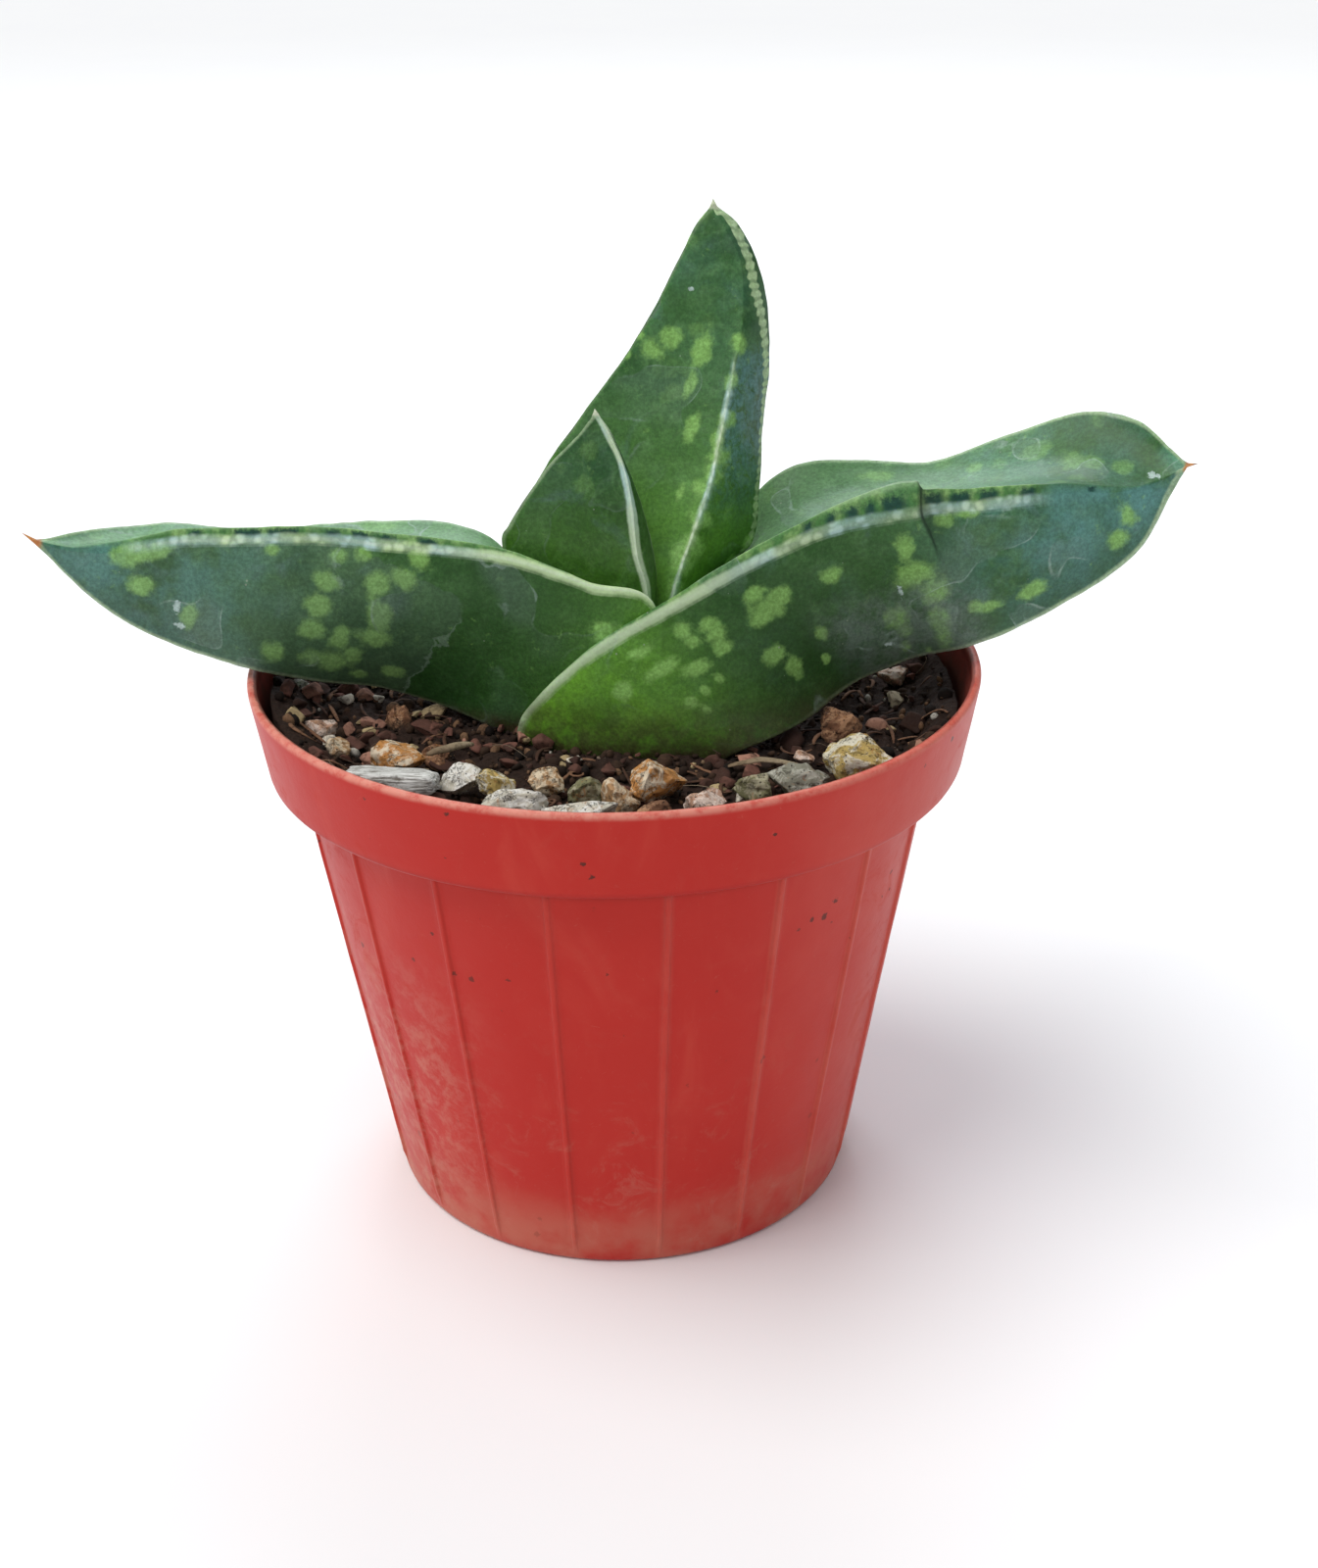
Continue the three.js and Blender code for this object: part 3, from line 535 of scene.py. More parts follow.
# Pale spots: (side, along, across, length mm, width mm). Side 0 is the upper face and 1 the front face;
# along runs from the base to the tip and across from edge b to the far edge, both in hundredths.
SPOTS = {
    "left_leaf": [
        (1, 76, 43, 3.1, 2.5), (1, 51, 26, 3.1, 2.5), (1, 45, 23, 3.5, 3.2), (1, 42, 17, 3.5, 2.7),
        (1, 51.5, 43, 3.1, 2.9), (1, 43.5, 43, 3.4, 3.9), (1, 51, 60, 2.9, 2.5), (1, 47.5, 63, 2.4, 3.1),
        (1, 43.5, 60, 4.3, 2.6), (1, 56.5, 79, 2.6, 2.8), (1, 45, 74, 2.4, 2.4), (1, 50.5, 79, 2.7, 2.6),
        (1, 47.5, 79, 3.6, 2.7), (1, 39, 83, 3.1, 1.7), (1, 43, 88, 2.3, 1.3), (1, 59, 6, 1.8, 1.4),
        (1, 50.5, 9, 2.3, 1.9), (1, 47.5, 6, 2.1, 2.2), (1, 41.5, 7, 2.3, 2.8), (1, 14, 23, 7.6, 3.4),
        (1, 11, 33, 5, 2.6), (0, 75, 60, 5, 4), (0, 44, 90, 6, 3.5), (1, 77.5, 4, 5.4, 2.6),
        (1, 74, 3, 3.4, 2.0), (1, 68.7, 65, 2.2, 3),
    ],
    "right_leaf": [
        (1, 36, 26, 5.2, 3.4), (1, 35.7, 14, 2.7, 2.2), (1, 38, 23, 2.4, 2.6), (1, 34.6, 29, 3.4, 1.8),
        (1, 43.6, 23, 2.8, 2.2), (1, 38.8, 54, 1.8, 2.1), (1, 33, 51, 2.7, 2.2), (1, 37.2, 71, 1.1, 1.4),
        (1, 33.4, 65, 2.0, 2.7), (1, 27.6, 12, 2.5, 2), (1, 29.9, 17, 2.5, 1.8), (1, 29.9, 24, 2.8, 1.8),
        (1, 29.5, 31, 2.4, 1.8), (1, 27.6, 20, 1.6, 1.6), (1, 23.2, 12, 3.9, 1.5), (1, 23.2, 26, 4.6, 1.9),
        (1, 26, 34, 3.6, 1.8), (1, 26.8, 45, 1.3, 1.4), (1, 24.4, 48, 1.2, 1.3), (1, 22, 51, 1.8, 1.6),
        (1, 22.4, 59, 1, 1.2), (1, 18.8, 26, 2.2, 2.4), (1, 52.1, 17, 2.6, 3.4), (1, 51.7, 37, 4.3, 4),
        (1, 47.3, 62, 3.5, 3), (1, 47.3, 73, 2.1, 2.3), (1, 53.6, 51, 3.6, 3.9), (1, 52.4, 71, 2.8, 5.3),
        (1, 51.7, 85, 2.4, 3.5), (1, 48.8, 93, 1.3, 1.6), (1, 59.8, 70, 3.4, 1.6), (1, 58.1, 68, 2.4, 1.5),
        (1, 66, 70, 3.5, 2.4), (1, 82, 33, 2.8, 3), (1, 79.5, 55, 3.1, 2.4), (1, 46.2, 85, 1.7, 2.1),
        (1, 57.6, 5, 2.2, 1.6), (1, 60.6, 4, 2.6, 1.1), (0, 47.3, 87, 4.5, 2.4), (0, 66.7, 76, 4.2, 3),
        (0, 72, 54, 3.6, 3.6), (0, 75.2, 47, 2.6, 3.4), (0, 59.9, 81, 1.9, 2), (0, 52, 70, 5, 3),
        (0, 80, 40, 3, 2.4),
    ],
    "upright_leaf": [
        (0, 61.3, 79, 2.2, 3.3), (0, 64.2, 67, 3.0, 2.7), (0, 63.7, 95, 1.4, 1.3), (0, 60.2, 95, 1.3, 1),
        (0, 63, 34, 4.9, 2.5), (0, 49.9, 22, 3.8, 1.8), (0, 56.4, 33, 3.2, 1.3), (0, 37.6, 16, 2.2, 1),
        (1, 65.7, 2, 2.5, 2.1), (1, 58.5, 2, 2.3, 1.7), (1, 45.5, 8, 2.6, 3.2), (1, 41.8, 3, 2.3, 2.8),
        (1, 34.2, 3, 2.3, 3.6), (1, 29.5, 4, 2.8, 3.2), (1, 24.4, 3, 2.7, 3.2), (1, 20.4, 2, 3.0, 2.8),
        (1, 52, 4, 2.2, 2.4), (0, 48, 3, 2.4, 2.0), (0, 39, 3, 2.4, 2.0), (0, 27, 4, 2.6, 2.2),
        (1, 36, 88, 1.6, 1.6), (1, 30, 86, 2.2, 1.8), (1, 25, 80, 2.2, 1.6),
    ],
    "young_leaf": [],
}
# How far a spot reaches from its middle, in its own lengths and widths.
SPOT_RADIUS = 0.58
# A line of small round pale beads: how far it runs from edge c in mm, at shares of the way to the tip.
BEAD_LINES = {
    "upright_leaf": ((0.15, 0.32, 0.5, 0.62, 0.74, 0.86, 0.95, 1), (1.8, 1.6, 1.2, 2.0, 3.2, 2.3, 1.2, 0.5)),
}


def marks(table, name, rings, fields):
    """How far every point is from the middle of each mark, in lengths and widths of that mark."""
    for side, along, across, length, width in table[name]:
        score = np.hypot((fields["u"] - along / 100) * 3, fields["across"] - across / 100)
        score[np.abs(fields["side"] - side) > 0.4] = 9
        ring, column = np.unravel_index(np.argmin(score), score.shape)
        offset = rings - rings[ring, column]
        direction = rings[min(ring + 1, RINGS - 1), column] - rings[max(ring - 1, 0), column]
        direction /= np.linalg.norm(direction)
        lengthwise = offset @ direction
        crosswise = np.sqrt(np.maximum((offset**2).sum(2) - lengthwise**2, 0))
        yield np.hypot(lengthwise / length, crosswise / width)


def spot_field(name, rings, fields):
    """1 in the middle of a spot and 0 at its rim, from the spots' lists."""
    strength = np.full(rings.shape[:2], -1.0)
    wobble = rough(rings.reshape(-1, 3), 1.6, 2, 31).reshape(rings.shape[:2])
    for distance in marks(SPOTS, name, rings, fields):
        inside = np.where(fields["side"] < 1.5, 1 - distance / SPOT_RADIUS + 0.30 * wobble, -1)
        strength = np.maximum(strength, inside)
    return strength


def leaf_skin(name):
    """Thick waxy skin: dark green, paler at the base, with pale spots and broken pale lines on the edges."""
    p = Paint(name + "_skin")
    run, from_a, from_b, from_c = (p.field(k) for k in ("run", "from_a", "from_b", "from_c"))
    u, fresh, spot, side, rim, line = (p.field(k) for k in ("u", "fresh", "spot", "side", "rim", "line"))
    fine = p.noise(0.5, 3, 0.7, shift=5)

    deep = p.mix(p.ease(p.noise(14, 3, 0.6, shift=3), 0.32, 0.66), (0.02, 0.086, 0.013),
        (0.05, 0.143, 0.035))
    deep = p.mix(p.ease(p.noise(3.2, 4, 0.7, 0.6, shift=9), 0.42, 0.76), deep, (0.084, 0.2, 0.062))
    # Painted bluish sky reflection over the outer half of the leaf.
    sky_reflection = p.ease(u, 0.45, 0.8) * p.ease(p.noise(7, 3, 0.6, shift=21), 0.34, 0.62) * SKY_REFLECTION[name]
    deep = p.mix(sky_reflection, deep, (0.1, 0.258, 0.232))
    lively = p.ease(p.noise(6, 3, 0.6, 0.5, shift=33), 0.25, 0.7, 0.5, 1.0)
    base = p.mix(fresh * lively, deep, (0.165, 0.41, 0.03))
    # Painted light: the upper face is made paler for the sky light it catches.
    base = p.mix(p.ease(side, 0.0, 0.6, UPPER_FACE_LIGHT[name], 0.0), base, (0.17, 0.36, 0.16))
    base = p.mix(p.field("zone_dark") * 0.8, base, (0.02, 0.07, 0.014))
    # Painted bluish sky reflection on the front of the right leaf towards its tip.
    base = p.mix(p.field("blue_reflection") * p.ease(p.noise(6, 4, 0.65, shift=22), 0.28, 0.6, 0.35, 1.0), base,
        (0.12, 0.285, 0.26))
    # Painted shade: the front and back faces darken towards the keel, on the side turned from the light.
    low = p.ease(p.field("across"), 0.25, 0.95) * p.ease(side, 0.7, 1.0) * 0.55
    base = p.mix(low * p.ease(p.noise(8, 3, 0.6, shift=91), 0.25, 0.65, 0.5, 1.0), base,
        (0.022, 0.07, 0.018))
    sheen = p.ease(p.noise(9, 4, 0.6, 0.8, shift=57), 0.52, 0.75) * p.ease(u, 0.2, 0.6) * 0.45
    base = p.mix(sheen, base, (0.14, 0.248, 0.225))

    band = p.field("blue_band") * p.ease(p.noise(1.6, 4, 0.7, 1.0, shift=97), 0.3, 0.62)
    base = p.mix(band * 0.7, base, (0.13, 0.29, 0.3))
    ragged = spot + (p.noise(1.1, 4, 0.7, shift=12) - 0.5) * 1.1
    mask = p.ease(ragged, -0.34, 0.5, 0.0, 0.8) * p.ease(side, 0.0, 0.5, UPPER_SPOTS[name], 1.0)
    flecked = p.ease(p.noise(1.6, 3, 0.6, 0.4, shift=87), 0.6, 0.74)
    flecked = flecked * p.ease(p.noise(9, 2, 0.5, shift=89), 0.48, 0.64) * 0.38
    unseen = p.math("MAXIMUM", p.ease(side, 1.6, 1.9), p.ease(side, 0.0, 0.2, 1.0, 0.0) * 0.26)
    far_spots = p.cells(4.6, shift=93) + (p.noise(1.3, 3, 0.7, shift=95) - 0.5) * 0.35
    far_spots = p.ease(far_spots, 0.2, 0.38, 1.0, 0.0) * p.ease(p.noise(11, 2, 0.5, shift=98), 0.44, 0.58)
    flecked = p.math("MAXIMUM", flecked, far_spots * unseen * 0.75)
    mask = p.math("MAXIMUM", mask, flecked)
    pale = p.mix(fine, (0.215, 0.45, 0.085), (0.31, 0.57, 0.17))
    colour = p.mix(mask, base, pale)

    along = p.vector(run, from_b * 0.9, 0.0)
    beads = p.ease(p.cells(1.25, vector=along, shift=2), 0.2, 0.62, 1.0, 0.0)
    on_bevel = p.ease(rim, 0.02, 0.25) * p.ease(rim, 1.0, 1.5, 1.0, 0.0) * line
    bevel_tone = p.mix(p.ease(rim, 0.4, 0.9), (0.07, 0.2, 0.05), BEVEL_TOP[name])
    blocks = p.ease(p.noise(1.9, 2, 0.5, vector=along, shift=31), 0.42, 0.66)
    bevel_tone = p.mix(blocks * p.ease(rim, 0.75, 1.0, 0.9, 0.0), bevel_tone, (0.3, 0.5, 0.17))
    colour = p.mix(on_bevel * 0.85, colour, bevel_tone)
    dash_top = rim + (fine - 0.5) * 0.5
    dash = p.field("dash") * p.ease(dash_top, 0.08, 0.26) * p.ease(dash_top, 0.42, 0.72, 1.0, 0.0) * 0.92
    colour = p.mix(dash, colour, (0.01, 0.052, 0.042))
    rim_line = p.stripe(rim - 0.98, 0.07, 0.2) * line * 0.6
    colour = p.mix(rim_line, colour, (0.33, 0.47, 0.25))
    # Painted bluish sky reflection along the line on edge b.
    line_reflection = p.ease(p.noise(7, 2, 0.5, vector=along, shift=35), 0.36, 0.54) * p.ease(u, *LINE_REFLECTION[name])
    tone = p.mix(line_reflection, LINE_TONE[name], (0.48, 0.69, 0.66))
    # The pale line on edge b: part real pale margin and beads, part painted gloss highlight.
    ridge = p.stripe(from_b + RIDGE[name][0] + (p.noise(2.4, 2, 0.5, vector=along) - 0.5) * 0.5,
        RIDGE[name][1], 0.5)
    beaded = p.ease(u, BEADED[name][0], BEADED[name][1], 0.0, 1.0)
    bead_share = (0.45 + beads * 0.5) * beaded + (1.0 - beaded) * 0.9
    lined = ridge * bead_share * line
    colour = p.mix(lined, colour, tone)
    # A painted highlight along the middle of the line on edge b.
    glint = p.stripe(from_b + RIDGE[name][0], 0.05, RIDGE[name][1]) * bead_share * line * GLINT[name]
    colour = p.mix(glint, colour, (0.76, 0.88, 0.7))

    dots = p.math("SINE", run * 4.6 + p.noise(2, 1, vector=along, shift=3) * 9.0)
    bead_width = p.ease(u, 0.45, 0.75, 0.3, 0.66)
    bead_gap = p.math("ABSOLUTE", p.field("bead_line")) + dots * -0.2 - bead_width
    dotted = (p.ease(bead_gap, 0.0, 0.4, 1.0, 0.0) * p.ease(u, 0.2, 0.6, 0.45, 0.9)
        * p.ease(dots, -1.0, 0.2, 0.62, 1.0))
    colour = p.mix(dotted, colour, p.mix(p.noise(2.2, 2, 0.5, shift=96), (0.42, 0.62, 0.26),
        (0.56, 0.72, 0.46)))

    margin = p.math("MAXIMUM", p.stripe(from_a, 0.7, 0.5) * MARGIN[name], p.stripe(from_c, KEEL[name], 0.6))
    worn = p.ease(p.noise(2.2, 3, 0.6, vector=p.vector(run, from_c, from_a), shift=15), 0.2, 0.5, 0.3, 0.85)
    colour = p.mix(margin * worn * p.ease(u, 0.1, 0.6, 0.2, 1.0), colour, (0.4, 0.54, 0.32))

    # Painted shade in the right leaf's fold, and a painted shadow band just past it on the tip side.
    colour = p.mix(p.field("fold_shade") * 0.92, colour, (0.008, 0.016, 0.01))
    powder = p.field("dusty") * p.ease(p.noise(2.2, 5, 0.7, shift=85), 0.3, 0.62, 0.15, 1.0) * 0.6
    colour = p.mix(powder, colour, (0.17, 0.22, 0.19))
    blot = p.noise(9, 1.2, 0.5, 0.3, shift=71) + (p.noise(0.8, 2, 0.6, shift=73) - 0.5) * 0.02
    marked = p.ease(p.noise(19, 2, 0.5, shift=77), 0.46, 0.58) * p.ease(u, 0.1, 0.35) * MARKED[name]
    colour = p.mix(p.ease(blot, 0.545, 0.56) * marked * 0.28, colour, (0.18, 0.26, 0.22))
    tide = p.stripe(blot - 0.55, 0.002, 0.012) * marked * p.ease(p.noise(3, 2, 0.5, shift=79), 0.35, 0.65)
    colour = p.mix(tide * 0.6, colour, (0.35, 0.47, 0.41))
    film = p.field("film") + (p.noise(3.0, 4, 0.55, shift=41) - 0.5) * 5.0
    colour = p.mix(p.ease(film, 0.0, 0.5) * 0.16, colour, (0.2, 0.25, 0.24))
    colour = p.mix(p.stripe(film, 0.05, 0.3) * p.field("film_edge") * 0.34, colour, (0.33, 0.44, 0.36))
    scarred = p.ease(p.field("scar") + (p.noise(0.6, 4, 0.75, shift=27) - 0.5) * 1.5, 0.35, 0.6)
    colour = p.mix(scarred * 0.75, colour, (0.56, 0.7, 0.66))
    colour = p.mix(p.field("tip"), colour, TIP_TONE[name])
    dust = p.math("LESS_THAN", p.cells(1.7, shift=66),
        p.ease(p.noise(7, 2, 0.5, shift=64), 0.5, 0.7, 0.0, 0.09))
    colour = p.mix(dust * 0.55, colour, (0.38, 0.42, 0.34))
    colour = p.mix(p.field("stain") * p.ease(p.noise(2.8, 4, 0.7, shift=83), 0.2, 0.6) * 0.72, colour,
        (0.06, 0.048, 0.026))
    earthy = p.field("earth") * p.ease(p.noise(1.4, 4, 0.7, shift=84), 0.3, 0.6) * 0.85
    colour = p.mix(earthy, colour, (0.05, 0.026, 0.016))
    grain = p.ease(fine, 0.3, 0.75, 0.76 * SHADE[name], 1.2 * SHADE[name])
    # The line on edge b, partly a painted highlight, is kept clear of the darker grain.
    grain = grain + lined * 0.8 * (1.0 - grain)
    colour = p.mix(1.0, colour, p.vector(grain, grain, grain), "MULTIPLY")

    shine = 0.3 + p.noise(5, 4, 0.7, shift=18) * 0.16 + scarred * 0.25 + p.ease(film, 0.0, 0.5) * 0.12
    normal = p.bump(p.noise(2.6, 3, 0.6, shift=50), 0.09)
    normal = p.bump(p.noise(0.3, 2, 0.6, shift=52), 0.016, normal)
    return p.finish(colour, shine, normal, **{"IOR": 1.42, "Specular IOR Level": 0.3,
        "Subsurface Weight": 0.08, "Subsurface Radius": (0.5, 1.2, 0.25), "Subsurface Scale": 0.0012})


def leaf(name):
    rings, fields, tip = leaf_shape(name)
    u, run, from_b = fields["u"], fields["run"], fields["from_b"]
    grid = rings.shape[:2]
    normal = ring_normals(rings)
    points = rings.reshape(-1, 3)
    calm = smooth(1 - u, 0.0, 0.06)
    swells = sum(height * rough(points, *lumps) for height, *lumps in SKIN_SWELLS)
    lift = swells.reshape(grid) * calm
    line = np.interp(u, *LINES[name])
    along = np.stack([run.ravel(), 0 * run.ravel(), 0 * run.ravel()], 1)
    beads = rough(along, BEAD_SIZE, 1, 23).reshape(grid)
    lift += BEAD_HEIGHT * np.exp(-((from_b / 0.5) ** 2)) * line * smooth(beads, -0.3, 0.5)
    fold_shade = np.zeros(grid)
    if name == "right_leaf":
        step, fold_shade = crease_shape(fields)
        lift += step
    rings = rings + normal * lift[:, :, None]
    across_too = np.stack([run.ravel(), from_b.ravel(), 0 * run.ravel()], 1)
    jitter = 0.45 * rough(across_too, 0.9, 2, 29).reshape(grid)
    dash = np.zeros(grid)
    for start, end in DASHES[name]:
        opening = smooth(u * 100 + jitter, start - 0.5, start + 0.5)
        dash = np.maximum(dash, opening * smooth(-u * 100 + jitter, -end - 0.5, -end + 0.5))
    fresh = {
        "left_leaf": smooth(0.30 - u, 0, 0.22) * 0.55,
        "right_leaf": smooth(0.36 - u, 0, 0.24),
        "upright_leaf": smooth(0.60 - u, 0, 0.4) * 0.7,
        "young_leaf": smooth(0.75 - u, 0, 0.6) * 0.45,
    }[name]
    bead_line = np.full(grid, FAR)
    if name in BEAD_LINES:
        bead_line = fields["from_c"] - np.interp(u, *BEAD_LINES[name])
    front = (fields["side"] > 0.6) & (fields["side"] < 1.5)
    upper = 1 - smooth(fields["side"], 0.0, 0.6)
    zone_dark, blue_reflection, dusty = np.zeros(grid), np.zeros(grid), np.zeros(grid)
    if name == "left_leaf":
        zone_dark = front * smooth(u, 0.10, 0.18) * (1 - smooth(u, 0.32, 0.38)) * 0.55
    if name == "right_leaf":
        middle_part = smooth(u, 0.22, 0.32) * (1 - smooth(u, 0.36, 0.44) * 0.6) * (1 - smooth(u, 0.52, 0.60))
        dusty = (front * smooth(u, 0.36, 0.42) * (1 - smooth(u, 0.54, 0.62))
            * smooth(fields["across"], 0.3, 0.6))
        end_part = smooth(u, 0.60, 0.74) * (1 - smooth(u, 0.86, 0.93))
        zone_dark = front * middle_part * 0.6 + upper * end_part * 0.75
        # A painted bluish reflection on the front face near the tip.
        blue_reflection = front * smooth(u, 0.62, 0.78) * 0.55
    above = rings[:, :, 2] - soil_height(rings[:, :, 0], rings[:, :, 1])
    blue_band = np.zeros(grid)
    if name == "upright_leaf":
        narrow = (fields["side"] > 0.6) & (fields["side"] < 1.4)
        blue_band = smooth(u, 0.30, 0.50) * (1 - smooth(u, 0.60, 0.66)) * narrow
    stain_depth, stain_fade = (10.0, 8.0) if name == "right_leaf" else (3.5, 3.0)
    values = {
        "u": u, "run": run, "from_a": fields["from_a"], "from_b": from_b, "from_c": fields["from_c"],
        "side": fields["side"], "across": fields["across"], "rim": np.clip(fields["rim"], -9, 9),
        "line": line, "fresh": fresh, "spot": spot_field(name, rings, fields), "dash": dash,
        "bead_line": bead_line, "fold_shade": fold_shade, "scar": scar_field(name, rings, fields),
        "film": film_field(name, fields), "film_edge": smooth(fields["across"], 0.25, 0.5), "tip": smooth(u, 0.976, 0.994),
        "earth": smooth(2.4 - above, 0, 2.6), "stain": smooth(stain_depth - above, 0, stain_fade),
        "blue_band": blue_band, "zone_dark": zone_dark, "blue_reflection": blue_reflection, "dusty": dusty,
    }
    capped = lambda g: np.concatenate([[g[0].mean()], g.ravel(), [g[-1].mean()]])
    attributes = {key: capped(g) for key, g in values.items()}
    base = rings[0].mean(0)
    vertices = np.vstack([base, rings.reshape(-1, 3), tip])
    faces = outwards(vertices, skin_faces(RINGS, rings.shape[1]))
    thing = make_object(name + "_living", vertices, faces, [name], attributes)
    thing.data.materials.append(leaf_skin(name))
    return thing


# The right leaf was once folded: its margin steps down there, and a crease runs part of the way to the keel.
CREASE_AT, CREASE_SLANT, CREASE_LENGTH, CREASE_STEP = 0.549, 0.010, 0.48, 1.15


def crease_shape(fields):
    """How far the skin before the fold stands proud in mm, and the painted shade in the fold and just past
    it.
    """
    u, side = fields["u"], fields["side"]
    front = side < 1.5
    down = np.where(side > 0.9, fields["across"], 0)
    upper = np.exp(-((np.maximum(-fields["from_b"] - 4.0, 0) / 2.5) ** 2))
    line = CREASE_AT + CREASE_SLANT * down / CREASE_LENGTH
    fade = np.where(front, 1 - smooth(down, 0.08, CREASE_LENGTH), 0) * np.where(side < 0.5, upper, 1)
    rise = smooth(u, line - 0.14, line - 0.008) * (1 - smooth(u, line - 0.002, line + 0.005))
    # Painted shade along the fold line, with a weaker painted shadow band on its tip side.
    behind = np.where(u > line, np.exp(-(((u - line) / 0.035) ** 2)), 0)
    dark = np.maximum(np.exp(-(((u - line - 0.002) / 0.0032) ** 2)), 0.45 * behind) * fade
    return CREASE_STEP * rise * fade, dark


# Old scars and scratches, placed as the spots are.
SCARS = {
    "left_leaf": [
        (1, 70.4, 58, 1.6, 3.4), (1, 69.6, 76, 3.2, 1.6),
    ],
    "right_leaf": [
        (0, 87, 24, 2.0, 2.6), (0, 89, 16, 1.2, 2.0), (1, 49.5, 45, 1.0, 4.5), (1, 44.5, 80, 2.4, 1.4),
        (0, 50, 60, 1.2, 2.0),
    ],
    "upright_leaf": [
        (0, 74, 62, 1.2, 1.4),
    ],
    "young_leaf": [],
}


def scar_field(name, rings, fields):
    """1 in the middle of each scar and 0 at its rim."""
    total = np.zeros(rings.shape[:2])
    for distance in marks(SCARS, name, rings, fields):
        total = np.maximum(total, np.where(fields["side"] < 1.5, 1 - distance * 2, 0))
    return total


def film_field(name, fields):
    """Millimetres past the ragged edge of a dried film of dirty water; negative where the skin is clean."""
    u, across, side = fields["u"], fields["across"], fields["side"]
    if name != "left_leaf":
        return np.full(u.shape, -9.0)
    edge = 0.333 + 0.027 * across**2
    return np.where((side > 0.9) & (side < 1.5), (u - edge) * 80 - 12 * smooth(0.3 - across, 0, 0.3), -9.0)


# ------------------------------------------------------------------ pot

def rounded(profile, cuts, steps=5):
    """A profile with each corner rounded off from cut mm before it to cut mm after it."""
    points = []
    for i, corner in enumerate(profile):
        cut = cuts[i]
        if not cut or i in (0, len(profile) - 1):
            points.append(np.array(corner, float))
            continue
        corner = np.array(corner, float)
        before = np.array(profile[i - 1], float) - corner
        after = np.array(profile[i + 1], float) - corner
        start = corner + before / np.linalg.norm(before) * min(cut, np.linalg.norm(before) * 0.48)
        end = corner + after / np.linalg.norm(after) * min(cut, np.linalg.norm(after) * 0.48)
        for t in np.linspace(0, 1, steps):
            points.append(start * (1 - t) ** 2 + corner * 2 * t * (1 - t) + end * t**2)
    return points


def spaced(points, longest):
    """The same profile with no gap between points over longest mm."""
    out = [points[0]]
    for p, q in zip(points, points[1:]):
        count = max(1, math.ceil(np.linalg.norm(q - p) / longest))
        out += [p + (q - p) * (k + 1) / count for k in range(count)]
    return np.array(out)


def pot_mesh():
    plate_top = PLATE_LIFT + WALL
    inner_ledge = LEDGE_LEVEL + WALL
    ring_inner = FOOT_RADIUS - FOOT_RING_WIDTH
    lip_inner = RIM_RADIUS - LIP_THICKNESS
    lip_low = POT_HEIGHT - LIP_DEPTH
    ledge_wall, plate_wall = wall_radius(inner_ledge) - WALL, wall_radius(plate_top) - WALL
    # Each corner of the turned section, with how much it is rounded off in mm.
    corners = [
        ((0, 0), 0), ((PAD_RADIUS, 0), 0.4), ((PAD_RADIUS, PLATE_LIFT), 0.4),
        ((ring_inner, PLATE_LIFT), 0.4), ((ring_inner, 0), 0.4), ((FOOT_RADIUS, 0), 1.1),
        ((WALL_TOP_RADIUS, LEDGE_LEVEL), 0.5), ((COLLAR_FOOT_RADIUS, LEDGE_LEVEL), 0.7),
        ((RIM_RADIUS, POT_HEIGHT), 0.9), ((lip_inner, POT_HEIGHT), 0.8), ((lip_inner, lip_low), 0.5),
        ((collar_radius(lip_low - WALL) - WALL, lip_low - WALL), 0.4),
        ((collar_radius(inner_ledge) - WALL, inner_ledge), 0.5),
        ((ledge_wall, inner_ledge), 0.5), ((plate_wall, plate_top), 1.2), ((0, plate_top), 0),
    ]
    profile = spaced(rounded([c for c, _ in corners], [cut for _, cut in corners]), 1.6)
    rib_offsets = np.array([-0.62, -0.45, -0.36, -0.22, 0, 0.22, 0.36, 0.45, 0.62]) * RIB_WIDTH
    angles, on_rib = [], []
    for i in range(RIB_COUNT):
        middle = math.radians(RIB_START_ANGLE + 360 * i / RIB_COUNT)
        for offset in rib_offsets:
            angles.append(middle + offset / (0.5 * (FOOT_RADIUS + WALL_TOP_RADIUS)))
            on_rib.append(1 - smooth(np.array(abs(offset)), 0.30 * RIB_WIDTH, 0.5 * RIB_WIDTH).item())
        for k in range(1, 11):
            angles.append(middle + math.radians(360 / RIB_COUNT) * k / 11)
            on_rib.append(0.0)
    angles, on_rib = np.array(angles), np.array(on_rib)
    ring_points = profile[1:-1]
    radius = np.repeat(ring_points[:, :1], len(angles), axis=1)
    height = np.repeat(ring_points[:, 1:], len(angles), axis=1)
    across, up = ring_points.T
    outer = (across >= wall_radius(up) - 0.05) & (up < LEDGE_LEVEL - 0.01)
    upright = smooth(up, RIB_FOOT_CLEARANCE - 0.5, RIB_FOOT_CLEARANCE + 1.5)
    radius += RIB_HEIGHT * (outer * upright)[:, None] * on_rib[None]
    points = np.stack([radius * np.cos(angles), radius * np.sin(angles), height], -1)
    flat = points.reshape(-1, 3)
    # Thin moulded plastic is never quite round or even.
    sway = 0.22 * rough(flat * [1, 1, 0.6], 34, 2, 71) + 0.03 * rough(flat, 5, 2, 77)
    away = flat * [1, 1, 0] / (np.hypot(flat[:, 0], flat[:, 1])[:, None] + 1e-9)
    keep_level = smooth(flat[:, 2], 1.0, 6.0)
    flat = flat + away * (sway * keep_level * smooth(POT_HEIGHT + 1 - flat[:, 2], 0.5, 3))[:, None]
    vertices = np.vstack([[0, 0, profile[0, 1]], flat, [0, 0, profile[-1, 1]]])
    faces = outwards(vertices, skin_faces(len(ring_points), len(angles)))
    return vertices, faces


